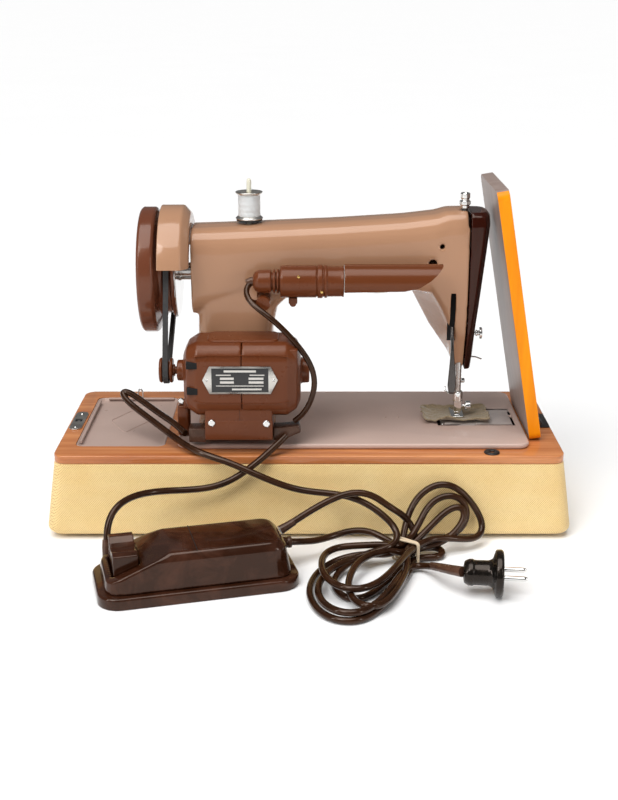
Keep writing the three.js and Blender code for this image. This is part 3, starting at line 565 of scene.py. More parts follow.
def smooth_route(points, step=3.5):
    """A dense centripetal curve near given points, with its corners relaxed."""
    pts = [Vector(p) for p in points]
    pts = [2 * pts[0] - pts[1]] + pts + [2 * pts[-1] - pts[-2]]
    route = []
    for p0, p1, p2, p3 in zip(pts, pts[1:], pts[2:], pts[3:]):
        t = [0.0]
        for a, b in ((p0, p1), (p1, p2), (p2, p3)):
            t.append(t[-1] + max((b - a).length, 1e-6) ** 0.5)
        count = max(2, round((p2 - p1).length / step))
        for k in range(count):
            s = t[1] + (t[2] - t[1]) * k / count
            a1 = between(p0, p1, t[0], t[1], s)
            a2 = between(p1, p2, t[1], t[2], s)
            a3 = between(p2, p3, t[2], t[3], s)
            b1, b2 = between(a1, a2, t[0], t[2], s), between(a2, a3, t[1], t[3], s)
            route.append(between(b1, b2, t[1], t[2], s))
    route.append(pts[-2])
    for _ in range(RELAXING):
        middle = [(a + 2 * b + c) / 4 for a, b, c in zip(route, route[1:], route[2:])]
        route = [route[0]] + middle + [route[-1]]
    return route


def sweep(route, radius, sides=16):
    """A tube along points; radius is a number or a function of the place from 0 to 1."""
    size = radius if callable(radius) else (lambda _: radius)
    route = [Vector(p) for p in route]
    up = Vector((0, 0, 1))
    rings = []
    for i, here in enumerate(route):
        ahead = (route[min(i + 1, len(route) - 1)] - route[max(i - 1, 0)]).normalized()
        side = ahead.cross(up)
        side = side.normalized() if side.length > 1e-4 else Vector((1, 0, 0))
        up = side.cross(ahead).normalized()
        r = size(i / (len(route) - 1))
        rings.append([tuple(here + r * (side * math.cos(a) + up * math.sin(a)))
                      for a in (2 * math.pi * k / sides for k in range(sides))])
    return loft(rings)


def curve_length(route):
    """The length in metres of a route in millimetres."""
    return sum((b - a).length for a, b in zip(route, route[1:])) * MM


def lead(name, route, diameter, nodes=()):
    """A free lead as one open curve through its route."""
    data = bpy.data.curves.new(name, "CURVE")
    data.dimensions = "3D"
    spline = data.splines.new("POLY")
    spline.points.add(len(route) - 1)
    for point, place in zip(spline.points, route):
        point.co = (*P(*place), 1)
    spline.use_smooth = True
    data.bevel_depth = diameter / 2 * MM
    data.bevel_resolution = 5
    data.use_fill_caps = True
    data.materials.append(looks["cord"])
    piece = new_object(name, data)
    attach(piece, "root")
    if nodes:
        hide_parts(*nodes)
    print(name, "length", round(curve_length(route), 3))


def place(mesh, turn_deg, at):
    """Turns a mesh made round the machine's own origin about Z, then moves it, in machine millimetres."""
    origin = P(0, 0, 0)
    mesh.transform(Matrix.Translation(P(*at)) @ Matrix.Rotation(math.radians(turn_deg), 4, "Z")
                   @ Matrix.Translation(-origin))
    return mesh


def tip(mesh, at, axis, degrees):
    """Turns a mesh about an axis through a point."""
    centre = P(*at)
    mesh.transform(Matrix.Translation(centre) @ Matrix.Rotation(math.radians(degrees), 4, axis)
                   @ Matrix.Translation(-centre))
    return mesh


def ribs(count, step, axis, box, at, first=0):
    """Small blocks made at the machine's own origin, spaced round an axis and moved."""
    turned = [tip(block(*box), (0, 0, 0), axis, first + step * k) for k in range(count)]
    return place(joined(*turned), 0, at)


# ---------------------------------------------------------------- leads
lamp_route = [
    (-58.8, -57, 262.5), (-64, -58.5, 261.5), (-68, -62, 256), (-64, -70, 247), (-54, -78, 240),
    (-40, -84, 232), (-25, -89, 219), (-10, -93, 203), (1, -95, 187), (6.5, -96, 172), (5.5, -96, 156),
    (1, -95, 142), (-5, -92, 131), (-11, -90, 124), (-15, -88.7, 121.8),
]
controller_route = [
    (-24, -99.8, 109.6), (-30, -105, 104.5), (-40, -111, 96.5), (-50, -115.5, 89), (-60.5, -118.5, 81),
    (-73, -121.5, 72.5), (-86, -124.5, 66), (-106, -128, 62), (-131, -132, 62), (-151, -138, 63.6),
    (-166, -146, 64.8), (-179, -158, 65.5), (-189, -170, 63.5), (-196, -180, 57.5), (-199, -187, 49),
    (-199.3, -191.5, 38), (-198.8, -195.2, 28), (-197.8, -198.4, 20),
]
motor_route = [
    (-128.8, -90, 108.5), (-142, -72, 113.5), (-159, -52, 116.6), (-177, -34, 123), (-192, -20, 128.3),
    (-202, -13, 132), (-208, -12, 131.5), (-205.5, -18, 127.5), (-196, -27, 121.5), (-182, -40, 115.5),
    (-164, -58, 109), (-144, -80, 102.5), (-123.3, -102.5, 96.8), (-107, -114, 94), (-81, -121.5, 88),
    (-55, -127.5, 78), (-34, -130, 69.5), (-9, -131, 61.3), (16, -133, 59.5), (37, -136, 58),
    (52, -140, 54.6), (67, -146, 48), (79, -152, 40), (85, -155.5, 35.5),
]
speed_route = [
    (84, -151.5, 48.5), (79, -149, 52.5), (69, -144.5, 60), (56, -143, 65.5), (41, -145, 65),
    (26, -149, 61), (9, -156, 54.5), (-5, -162, 48), (-17, -169, 42), (-25.5, -173, 38.5),
]
TIE = (98, -169)
ALONG = Vector((0.57, 0.82, 0))      # the way the strands pass through the band
ACROSS = Vector((0.82, -0.57, 0))
CORD = 7


def in_tie(column, row, along=0.0):
    """A point of one strand inside the band: columns run across it, rows upward."""
    point = Vector((*TIE, 3.9 + row * 6.8)) + ACROSS * ((column - 1.5) * 6.2) + ALONG * along
    return tuple(point)


def through_tie(column, row, heading):
    """One pass through the band, to the back right (heading 1) or to the front left (-1)."""
    return [in_tie(column, row, heading * step) for step in (-10, 0, 10)]


# half loops on the floor, each from the back of the tie round to its front
left_outer = [
    (79.2, -183.7, 14), (53.6, -177, 12), (27.4, -182.7, 8), (10.4, -198, 4), (1, -229, 3.9),
    (1.8, -261.2, 3.9), (14.4, -291.9, 3.9), (32.1, -303.2, 3.9), (48.8, -299.3, 3.9),
    (68, -274.2, 3.9), (84.8, -239.2, 4.5), (94.9, -212.6, 5), (101, -196, 4.5),
]
left_second = [
    (80.9, -176.7, 18), (55.8, -185.4, 15), (29.7, -197.8, 11), (14, -223.5, 11), (7.8, -250.9, 11),
    (13.3, -282.4, 11), (27.4, -299, 11), (45.1, -301, 11), (61.4, -282.4, 11), (77.9, -248.3, 11),
    (89.9, -217.9, 11), (97, -198, 7),
]
left_upper = [
    (81.1, -171.8, 20), (53.6, -174.9, 20), (28.9, -173.1, 18), (15.6, -187.6, 18), (11.5, -213.4, 18),
    (16.7, -243.1, 18), (28.1, -262, 18), (45, -268.4, 18), (62.5, -256.7, 18), (76.1, -234.8, 18),
    (87.1, -212.2, 18), (95, -193, 18),
]
left_last = [
    (82.2, -176.7, 16), (66.2, -184, 17), (49.6, -199.4, 16), (39, -226.8, 12), (38, -260.2, 11),
    (47.3, -285.8, 11), (61, -289.8, 11), (75.2, -271.4, 11), (87.1, -239.4, 11), (94.7, -214.2, 12),
    (98, -196, 14),
]
# half loops leaning on the case front, each from the left of the tie over to its right
right_outer = [
    (95.5, -152, 22), (98, -147, 30), (102, -137, 40), (112.1, -125, 52.7), (126.3, -121.5, 63.7),
    (140.9, -121.5, 66.6), (155.1, -122, 59.2), (166.3, -122.5, 46.9), (177, -123, 31.3),
    (182.2, -127, 18.3), (178.5, -135, 12), (165.5, -146, 12.9), (148.7, -152, 17.4), (132.3, -156, 20),
    (119, -158.5, 19),
]
right_second = [
    (104, -153, 20), (109, -149, 26), (114.7, -141, 34), (122, -130, 45.4), (133.5, -127, 53.4),
    (146.9, -126, 55.9), (158.5, -127, 51.1), (164.7, -129, 39.2), (161.6, -136, 26.8),
    (150.6, -146, 20.2), (135.3, -153, 16), (120, -157, 15),
]
right_third = [
    (107, -154, 14), (116, -149, 20), (130, -140, 32.3), (143.1, -134, 42.5), (155, -132.5, 47.9),
    (162, -133, 42), (159.5, -139, 31), (149.8, -147, 22), (138.3, -153, 14), (124, -158.5, 11),
]
floor_curl = [
    (109, -158.5, 6.5), (122, -148.5, 8), (133.7, -148, 6.5), (139.5, -157, 5), (135, -168.5, 4.2),
    (125, -171, 3.9), (116, -166, 3.9),
]
plug_tail = [
    (106, -188, 4.5), (116, -194.5, 7.5), (126, -211, 14), (134, -228, 20), (139, -236.2, 22.4),
    (144.6, -239.7, 23.1),
]
mains_route = ([(-19.5, -178.8, 26), (-12, -176.8, 25.7), (-4, -172, 23), (5, -165, 20),
                (18, -156, 19.5), (34, -148, 22), (50, -144, 24), (64, -146, 23), (75, -152, 19),
                (84, -158, 15), (96, -160.5, 9)]
               + floor_curl + through_tie(3, 0, -1) + left_outer[::-1] + through_tie(0, 1, 1) + right_outer
               + through_tie(3, 2, -1) + left_upper[::-1] + through_tie(1, 2, 1) + right_second
               + through_tie(2, 2, -1) + left_last[::-1] + through_tie(1, 1, 1) + right_third
               + through_tie(2, 1, -1) + left_second + plug_tail)
slack_loop = [
    (90.5, -159, 28.5), (91.5, -167, 22.5), (86, -176, 19.5), (72, -180, 18), (50, -186, 14),
    (35, -196, 8), (24.2, -216, 4), (26.2, -242.6, 4), (36.8, -261.2, 4), (51.6, -258.6, 4),
    (66.2, -237.2, 4), (81.5, -212.2, 4), (92, -194, 4.5),
]
slack_rise = [(110, -153, 9), (109, -145.5, 22), (100, -143, 36), (91, -147, 45)]
slack_route = motor_route + slack_loop + through_tie(2, 0, 1) + slack_rise + speed_route


def band():
    """The pale rubber band, two turns of it, round the tied leads."""
    turns = []
    for shift, skew in ((-2.2, 0.9), (1.4, -0.6)):
        route = []
        for column, height, start in ((-10.6, 3.4, 180), (10.6, 3.4, 270), (10.6, 20, 0), (-10.6, 20, 90)):
            for k in range(7):
                t = math.radians(start + 90 * k / 6)
                out = column + 3.1 * math.cos(t)
                point = Vector((*TIE, height + 3.1 * math.sin(t))) + ACROSS * out
                route.append(tuple(point + ALONG * (shift + skew * out / 10)))
        turns.append(sweep(route + route[:1], 1.25, 10))
    return make("tie_band", joined(*turns), "root", "cream_plastic", "band")


def mains_plug():
    profile = [(0, 0), (0, 6), (1, 10.5), (5, 12.6), (9, 12.8), (10, 12), (12, 11.8), (24, 12),
               (27.5, 13.6), (30.5, 22.4), (36, 22.8), (37.8, 21), (37.8, 0)]
    at, turn = (146.5, -240, 23.2), -6
    body = make("plug_body", place(lathe("x", (0, 0, 0), profile, 1.2), turn, at), "root", "plug_bakelite",
                stands_for="mains_plug")
    pins = joined(*[lathe("x", (0, dy, 0), [(37, 0), (37, 2.4), (57, 2.4), (60, 1.5), (60, 0)], 0.4, 24)
                    for dy in (-9.5, 9.5)])
    pins = make("plug_pins", place(pins, turn, at), "root", "steel", "chrome")
    route = smooth_route([(120.5, -201, 10.4), (126, -211, 14), (134, -228, 20), (139, -236.2, 22.4),
                          (145.6, -239.9, 23.2)])
    sleeve = make("plug_sleeve", sweep(route, lambda t: 3.9 + 1.3 * t), "root", "plug_bakelite", "lead_end")
    return [body, pins, sleeve]


plug_pieces = mains_plug()
tie_band = band()
lead("lamp_flex", smooth_route(lamp_route), 6, nodes=["lamp_lead"])
lead("controller_flex", smooth_route(controller_route), CORD,
     nodes=["controller_lead"])
lead("motor_flex", smooth_route(slack_route), CORD,
     nodes=["motor_lead", "speed_lead"])
lead("mains_flex", smooth_route(mains_route), CORD,
     ["mains_lead", "lead_bundle"])


# ---------------------------------------------------------------- case, deck, tray and leaf
def case():
    half_x, half_y = 265.5, 108
    sections = [(3.8, 0.05), (4.4, 0.4), (5.6, 0.68), (7.6, 0.87), (10, 0.97), (13, 1.0), (47, 0.52),
                (80.2, 0.02), (80.7, -0.05)]

    def outline(z, grow, r, inset=0.0):
        return ring_at(z, -half_x - grow * 9 + inset, half_x + grow * 9 - inset,
                       -half_y - grow * 10 + inset,
                       half_y + grow * 10 - inset, r)

    rings = [outline(z, grow, 13 + 2 * grow) for z, grow in sections]
    rings += [outline(80.7, 0, 6, 8), outline(10, 0, 6, 8)]
    make("case_cover", loft(rings), "root", "case_cloth", stands_for="case_body")
    feet = [lathe("z", (sx * 247.5, sy * 92, 0), [(0, 0), (0, 6.2), (1, 7), (5, 6), (5, 0)], 0.6, 32)
            for sx in (-1, 1) for sy in (-1, 1)]
    make("case_feet", joined(*feet), "root", "belt_rubber")


def deck():
    shape = slab(-265.5, 265.5, -108, 108, 81, 90, 13, 1.4)
    tray_hole = loft([ring_at(z, -247, -152, -79, 85, 8) for z in (75, 95)])
    well = loft([ring_at(z, -115, 222, -72, 72, 6) for z in (75, 95)])
    make("deck_board", carved(shape, tray_hole, well), "root", "varnished_wood", stands_for="case_deck")


def tray():
    x0, x1, y0, y1 = -246.6, -152.4, -78.6, 84.6
    steps = [(84.9, 6, 6), (84.9, 1.5, 8), (86.3, 0, 8.5), (89.2, 0, 8.5), (89.6, 0.5, 8),
             (89.4, 1.3, 7.4), (87.6, 2.2, 6.6), (86.5, 3.4, 6), (86.05, 5.4, 5), (86, 8, 4)]
    rings = [ring_at(z, x0 + g, x1 - g, y0 + g, y1 - g, r) for z, g, r in steps]
    make("tray_pan", loft(rings), "root", "tray_metal", sharp=60, stands_for="tool_tray")
    lips = [sweep([(x0 + 3.6, y0 + 14, 89.5), (x0 + 3.6, y1 - 14, 89.5)], 1.5, 12),
            sweep([(x0 + 12, y1 - 4, 89.5), (x1 - 6, y1 - 4, 89.5)], 1.5, 12)]
    make("tray_lips", joined(*lips), "root", "tray_metal")
    outline = ring_at(86.05, -22.5, 22.5, -22.5, 22.5, 5, 6)
    across, along = Vector((0.5, 0.866, 0)), Vector((0.47, -0.883, 0))
    line = [Vector((-201, 13, z)) + across * x + along * y for x, y, z in outline]
    make("tray_embossing", sweep(line + line[:1], 0.6, 8), "root", "tray_metal")
    ring = [(-197.5 + 2.8 * math.cos(t), 80.6, 94.9 + 6.4 * math.sin(t))
            for t in (2 * math.pi * k / 40 for k in range(41))]
    make("tray_pull", sweep(ring, 0.95, 10), "tray_ring", "chrome", stands_for="tray_ring")
    make("tray_pull_clip", block(-201, -194, 82.3, 85.8, 86.5, 89.9, 0.5), "root", "dark_metal")


def locks():
    plate = carved(slab(-263, -249, -29, 29, 90.3, 91.4, 6.8, 0.4), block(-260, -252, -4.5, 4.5, 85, 95))
    make("lock_face", plate, "root", "steel", "label_silver", stands_for="lock_plate")
    # painted shade: a near-black block under the hole in the lock face stands for the hole's dark inside
    make("lock_hole_shade", block(-260.5, -251.5, -5, 5, 89.6, 90.5, 0.1), "root", "dark_metal", "vent")
    make("lock_bolt", block(-257.2, -254.6, -4.6, 1.5, 90.2, 91.2, 0.3), "root", "steel")
    heads = []
    for y in (-22, 22):
        heads.append(lathe("z", (-256, y, 0), [(91.3, 0), (91.3, 2.2), (92, 1.6), (92, 0)], 0.3, 24))
    make("lock_screws", joined(*heads), "root", "steel", "chrome")
    rim = lathe("z", (190, -98.6, 0), [(90.2, 2.4), (90.2, 8.2), (91.2, 8.2), (92.1, 7), (92.1, 4),
                                       (91.3, 2.4)], 0.5)
    make("escutcheon", rim, "root", "dark_metal", stands_for="lock_escutcheon")


def leaf():
    dressed("extension_leaf", "leaf_board", 1.6, 4, "extension_leaf", "varnished_wood", "leaf_wood")
    dressed("leaf_hinge_base", "leaf_hinge", 0.4, 2, "root", "dark_metal")


def bed():
    shape = slab(-139, 232, -89, 89, 90.3, 96, 13, 2.2)
    pocket = block(139.7, 237, -31.3, 25.3, 93.4, 100)
    opening = block(144, 222, -27, 21, 80, 100)
    pillar_hole = rod("z", (-77, 0, 0), 80, 100, 14, 0, 32)
    oil_holes = [rod("z", (x, -3, 0), 94, 100, 1.4, 0, 16) for x in (85, 99)]
    top = carved(shape, pocket, opening, pillar_hole, *oil_holes)
    hanger = carved(block(118, 128, -14, 14, 58, 91.3, 0.8),
                    rod("x", (0, 0, 70), 110, 135, 6.2, 0, 24))
    make("bed_casting", joined(top, hanger), "root", "bed_enamel", stands_for="bed_plate")
    for node, name, body, look in (("needle_plate", "throat_plate", "root", "plate_steel"),
                                   ("slide_plate", "bobbin_cover", "slide_plate", "plate_steel"),
                                   ("feed_dog", "feed_teeth", "feed_dog", "steel")):
        dressed(node, name, 0.35, 2, body, "steel", look)
    screws = [lathe("z", (x, y, 0), [(95.8, 0), (95.8, 2.6), (96.25, 2.2), (96.25, 0)], 0.2, 24)
              for x, y in ((146, -24), (146, 18))]
    make("plate_screws", joined(*screws), "root", "steel", "chrome")


# ---------------------------------------------------------------- arm, head and handwheel
def arm():
    shape = moulded(copied("arm_casting"), 1.4, 14)
    holes = [rod("y", (129.2, 0, 275.5), -50, -20, 4.5, 0, 32),
             rod("y", (138.6, 0, 293.4), -50, -20, 2.7, 0, 32),
             block(149.6, 154.8, -45, -15, 192.6, 243.4), block(153.4, 160.6, 15, 45, 213.6, 268.4),
             rod("z", PRESSER_AT, 300, 340, 4.6, 0, 32),
             rod("z", PRESSER_AT, 140, 186, 3.8, 0, 32),
             rod("z", NEEDLE_AT, 140, 186, 3.8, 0, 32),
             rod("z", SPOOL_AT, 295, 330, 2.8, 0, 32)]
    make("arm_shell", carved(shape, *holes), "root", "enamel", sharp=50, stands_for="arm_casting")
    # painted shade: a near-black block closes the lifter slot, where the inside of the arm would be dark
    make("lifter_slot_shade", block(147.6, 157, -22.5, -20, 190, 246), "root", "enamel", "vent")


def face():
    shape = moulded(copied("face_plate"), 1.0, 12)
    hole = rod("x", COVER_SCREW, 170, 190, 2.4, 0, 24)
    make("head_cover", carved(shape, hole), "root", "face_enamel", sharp=50, stands_for="face_plate")
    profile = [(173, 0), (173, 1.9), (181, 1.9), (181, 3.4), (183, 3.4), (183, 2.6), (185, 2.6),
               (185, 6.1), (187.8, 6.1), (187.8, 3), (186.9, 2.4), (186.9, 0)]
    knurl = ribs(24, 15, "X", (185.4, 187.4, -0.35, 0.35, 5.7, 6.25), COVER_SCREW)
    make("cover_screw", joined(lathe("x", COVER_SCREW, profile, 0.4), knurl), "face_plate_screw", "chrome",
         stands_for="face_plate_screw")
    make("cover_guide", sweep([(168, -2, 166.5), (182, -2, 165.5), (188.5, -2, 163)], 0.8, 10), "root",
         "steel", "chrome")


def wheel():
    profile = [(-139.9, 7.8), (-139.9, 50.4), (-143, 51), (-144.4, 46.2), (-151, 46.2), (-152.4, 51),
               (-155.6, 51.2), (-158.4, 60), (-159.6, 64.6), (-162, 66.5), (-174.6, 66.5), (-177, 64.2),
               (-177, 55.5), (-170.5, 51.6), (-168.5, 40), (-166, 36), (-166, 7.8)]
    make("wheel_casting", lathe("x", SHAFT, profile, 1.2, 128), "handwheel", "wheel_enamel",
         stands_for="handwheel")
    disc = lathe("x", SHAFT, [(-140, 8), (-140, 49.4), (-139, 49.8), (-138.5, 48.5), (-138.5, 8)], 0.3, 128)
    make("wheel_face_disc", disc, "handwheel", "chrome")
    profile = [(-176, 0), (-176, 15.4), (-174.4, 17.6), (-166.4, 17.8), (-166.4, 0)]
    flutes = ribs(36, 10, "X", (-174, -167, -0.5, 0.5, 17.4, 18), SHAFT)
    make("stop_motion_knob", joined(lathe("x", SHAFT, profile, 0.8), flutes), "clutch_knob", "chrome",
         stands_for="clutch_knob")
    centre = lathe("x", SHAFT, [(-176.6, 0), (-176.6, 4.2), (-176, 5), (-175.6, 0)], 0.2, 32)
    make("stop_motion_screw", centre, "clutch_knob", "steel")


def guard():
    profile = [(-155.5, 68.6), (-131.5, 68.6), (-124, 60), (-124, 46), (-126.4, 46), (-126.4, 58.8),
               (-132.5, 66), (-155.5, 66)]
    whole = lathe("x", SHAFT, profile, 2.2, 160)
    make("belt_cover", carved(whole, block(-170, -100, -90, 90, 100, 276)), "root", "enamel", sharp=60,
         stands_for="belt_guard")


def belt():
    wheel_r, pulley_r = 48.3, 11.8
    dy, dz = -74, -90
    span, heading = math.hypot(dy, dz), math.atan2(dz, dy)
    wrap = math.acos((wheel_r - pulley_r) / span)
    centres = []
    for cy, cz, r, start, end, count in ((0, 262.5, wheel_r, heading + wrap, heading + 2 * math.pi - wrap,
                                          60),
                                         (-74, 172.5, pulley_r, heading - wrap, heading + wrap, 24)):
        for k in range(count + 1):
            t = start + (end - start) * k / count
            centres.append((cy, cz, r, t))
    section = [(-2.9, 1.7), (-2.5, 2.1), (2.5, 2.1), (2.9, 1.7), (2.2, -1.7), (1.7, -2.0), (-1.7, -2.0),
               (-2.2, -1.7)]
    rings = [[(-147.7 + dx, cy + (r + dr) * math.cos(t), cz + (r + dr) * math.sin(t)) for dx, dr in section]
             for cy, cz, r, t in centres]
    make("belt", loft(rings, closed=True), "root", "belt_rubber", stands_for="drive_belt")


# ---------------------------------------------------------------- motor and terminal box
def motor():
    for node, name in (("motor_shell_left", "motor_half_left"), ("motor_shell_right", "motor_half_right")):
        make(name, moulded(copied(node), 1.0, 12), "root", "motor_enamel", sharp=60, stands_for=node)
    make("motor_cap_step", slab(-104, -31, -93, -55, 206.4, 209.4, 9, 1.4), "root", "motor_enamel")
    lines = [sweep([(-117, -108.0, 196.4), (-105, -108.2, 198.4), (-33, -108.2, 198.4),
                    (-20, -108.0, 196.4)], 0.6, 8),
             sweep([(-117, -107.9, 150), (-106, -108.15, 147.6), (-32, -108.15, 147.6),
                    (-20, -107.9, 150)], 0.45, 8)]
    make("motor_mould_lines", joined(*lines), "root", "motor_enamel")
    pad = block(-106.6, -37.5, -105.6, -70, 122, 141, 2.2)
    make("motor_foot_pad", pad, "root", "motor_enamel")
    make("motor_brush_cap", slab(-26, -11.5, -101.5, -90, 190.5, 202, 2.5, 1.2), "root", "motor_enamel")
    # painted shade: near-black blocks fill the motor's cooling slots where their dark insides would be
    slot_shades = [block(-124.2, -113.2, -108.35, -100, 173.4 + s * 13.6 - 3.3, 173.4 + s * 13.6 + 3.3, 0.3)
             for s in (-1, 1)]
    make("motor_slot_shade", joined(*slot_shades), "root", "dark_metal", "vent")
    cap = lathe("x", MOTOR_AXIS, [(-9, 0), (-9, 12.6), (-7.5, 13), (-3.5, 13), (-2.2, 11.6), (-2.2, 8),
                                  (-0.4, 7), (-0.4, 0)], 0.8, 48)
    make("motor_bearing_cap", cap, "root", "motor_enamel")
    profile = [(-154.7, 0), (-154.7, 12), (-153.2, 13), (-151.9, 13), (-150.9, 9.6), (-144.5, 9.6),
               (-143.5, 13), (-142.2, 13), (-140.7, 12), (-140.7, 6), (-138.7, 6), (-138.7, 4),
               (-104, 4), (-104, 21), (-40, 21), (-40, 4), (-4.7, 4), (-4.7, 0)]
    make("motor_pulley", lathe("x", MOTOR_AXIS, profile, 0.5), "motor_rotor", "dark_metal", "motor_enamel",
         stands_for="motor_armature")

    z, y = 172.5, -109.7
    def hexagon(inset, depth0, depth1):
        half, tall, nose = 38.2 - inset, 14.5 - inset, 31 - inset * 0.6
        outline = [(-half, 0), (-nose, tall), (nose, tall), (half, 0), (nose, -tall), (-nose, -tall)]
        return loft([[(-69.8 + a, depth, z + b) for a, b in outline] for depth in (depth0, depth1)])
    plate = baked(hexagon(0, y, y + 1.4), ("BEVEL", {"width": 0.3 * MM, "segments": 2}))
    make("plate_rim", plate, "root", "dark_metal", "label_silver", stands_for="motor_nameplate")
    panel = block(-98.6, -41, y - 0.18, y + 0.5, z - 12.6, z + 12.6, 0.12)
    make("plate_field", panel, "root", "dark_metal", "label_black")
    bars = []
    for row, (x0, x1, height) in enumerate(((-86, -53.5, 2.2), (-94, -79, 1.1), (-60, -45, 1.1),
                                            (-90, -76, 2.4),
                                            (-61, -46, 2.4), (-90, -76, 2.4), (-61, -46, 2.4),
                                            (-94, -46, 0.9),
                                            (-78, -48, 1.8))):
        middle = z + (9.6, 5.6, 5.6, 1.9, 1.9, -2.1, -2.1, -5.8, -9.4)[row]
        bars.append(block(x0, x1, y - 0.3, y, middle - height / 2, middle + height / 2))
    make("plate_bars", joined(*bars), "root", "dark_metal", "label_silver")
    rivets = [lathe("y", (x, 0, z), [(y - 0.9, 0), (y - 0.5, 1.3), (y + 0.1, 1.7), (y + 0.1, 0)], 0.3, 20)
              for x in (-103.8, -35.8)]
    make("plate_rivets", joined(*rivets), "root", "chrome")


def screw(x, y, z, r=3.8, proud=1.5):
    """A slotted cheese-head screw facing the back of the machine."""
    head = lathe("y", (x, 0, z), [(y - proud, 0), (y - proud, r * 0.8), (y - proud * 0.5, r), (y + 0.3, r),
                                  (y + 0.3, 0)],
                 0.4, 32)
    slot = tip(block(x - r, x + r, y - proud - 0.3, y - proud + 0.6, z - 0.45, z + 0.45), (x, y, z), "Y",
               70)
    return carved(head, slot)


def terminal_box():
    dressed("terminal_box", "terminal_cover", 1.3, 4, "root", "motor_enamel")
    seam = block(-71.2, -70.9, -105.8, -104, 128, 140)
    make("terminal_seam", seam, "root", "dark_metal", "vent")
    make("terminal_screws", joined(screw(-99.8, -106, 125.6, 3.8), screw(-43.6, -106, 124.8, 3.8)), "root",
         "chrome")
    dressed("motor_bracket", "motor_mount", 2.5, 4, "root", "motor_enamel")
    for node, name in (("connector_left", "lead_socket_left"), ("connector_right", "lead_socket_right")):
        dressed(node, name, 1.2, 4, "root", "bakelite", "lead_end")
    lug = joined(block(-139, -126, -66, -50, 96.4, 131, 3.2), block(-132, -126, -70, -50, 128, 139, 2))
    make("motor_lug", lug, "root", "motor_enamel")
    make("lug_screw", screw(-134.5, -66, 136.2, 3.2), "root", "chrome")


# ---------------------------------------------------------------- lamp
def lamp():
    _, y, z = LAMP_AXIS
    cap = [(-57.5, 0), (-57.5, 6.5), (-55.5, 9.8), (-52, 11.8), (-40, 12.2), (-39, 11.8), (-38.6, 9.6),
           (-37, 9.6), (-36.6, 12.6), (-34.8, 12.6), (-34.4, 9.6), (-33.2, 9.6), (-32.8, 12.9),
           (-31, 12.9), (-30.8, 11), (-30.2, 11), (-29.2, 16), (-27, 16.5), (7, 16.5), (7.8, 15.6),
           (8.4, 15.6), (9, 17.2), (13.6, 17.2), (14.4, 15.8), (15.4, 15.8), (16, 17), (18, 16.8),
           (19, 15.6), (33, 15.4), (35.4, 16.2), (36, 14), (24, 12), (24, 0)]
    make("lamp_body", lathe("x", LAMP_AXIS, cap, 0.5, 96), "lamp", "motor_enamel",
         stands_for="lamp_housing")

    def cut_height(x):
        line = [(20, -8.5), (97, -7), (112, -3.5), (124, 4), (132, 11), (138.5, 18.5)]
        for (x0, z0), (x1, z1) in zip(line, line[1:]):
            if x <= x1:
                return z0 + (z1 - z0) * (x - x0) / (x1 - x0)
        return 18.5

    xs = [36, 36.4, 37.2] + [38 + k * 99.2 / 90 for k in range(91)]
    sheets = []
    for radius in (17.8, 16.5):
        sheet = []
        for x in xs:
            grow = -0.9 if x < 36.3 else -0.3 if x < 37 else 0
            r = radius + grow
            low = math.asin(max(-1, min(0.999, cut_height(x) / radius)))
            sheet.append([(x, y + r * math.cos(a), z + r * math.sin(a))
                          for a in (low + (math.pi - 2 * low) * k / 48 for k in range(49))])
        sheets.append(sheet)
    points = [p for sheet in sheets for row in sheet for p in row]
    size, width = len(xs) * 49, 49
    faces = []
    for s in range(2):
        for i in range(len(xs) - 1):
            for k in range(48):
                a = s * size + i * width + k
                faces.append((a, a + 1, a + width + 1, a + width))
    for i in range(len(xs) - 1):
        for k in (0, 48):
            a = i * width + k
            faces.append((a, a + width, a + width + size, a + size))
    for i in (0, len(xs) - 1):
        for k in range(48):
            a = i * width + k
            faces.append((a, a + 1, a + 1 + size, a + size))
    make("lamp_scoop", from_points(points, faces), "lamp", "motor_enamel", "lamp_lined",
         stands_for="lamp_shade")
    bulb = [(24.3, 0), (24.3, 7.4), (44, 7.6), (50, 9), (60, 11.6), (70, 12.2), (80, 11.4), (88, 8),
            (92, 3.4), (92.8, 0)]
    make("bulb", lathe("x", LAMP_AXIS, bulb, 1.5), "lamp", "bulb_glass", stands_for="lamp_bulb")
    dots = [lathe("y", (x, 0, zz), [(yy - 0.9, 0), (yy - 0.7, 1.4), (yy + 1.4, 1.8), (yy + 1.4, 0)], 0.3,
                  20)
            for x, yy, zz in ((-10.5, y - 14.9, z + 8), (13, y - 15.6, z - 7.6))]
    make("lamp_fixings", joined(*dots), "lamp", "chrome", "brass")
    dressed("lamp_switch", "lamp_key", 1.4, 4, "lamp_switch", "motor_enamel")
    dressed("lamp_bracket", "lamp_arm", 1.0, 3, "root", "motor_enamel")
    relief = sweep([(-55.5, -57, 262.5), (-60, -57.3, 262.6), (-64.2, -58.6, 261.4)],
                   lambda t: 5.2 - 1.6 * t)
    make("lamp_flex_relief", relief, "lamp", "bakelite", "lead_end")
    clip = sweep([(-61, -62, 244), (-57, -56, 240), (-50, -50, 239.5), (-46, -44, 241)], 2.6, 12)
    make("lamp_clamp", clip, "root", "motor_enamel")


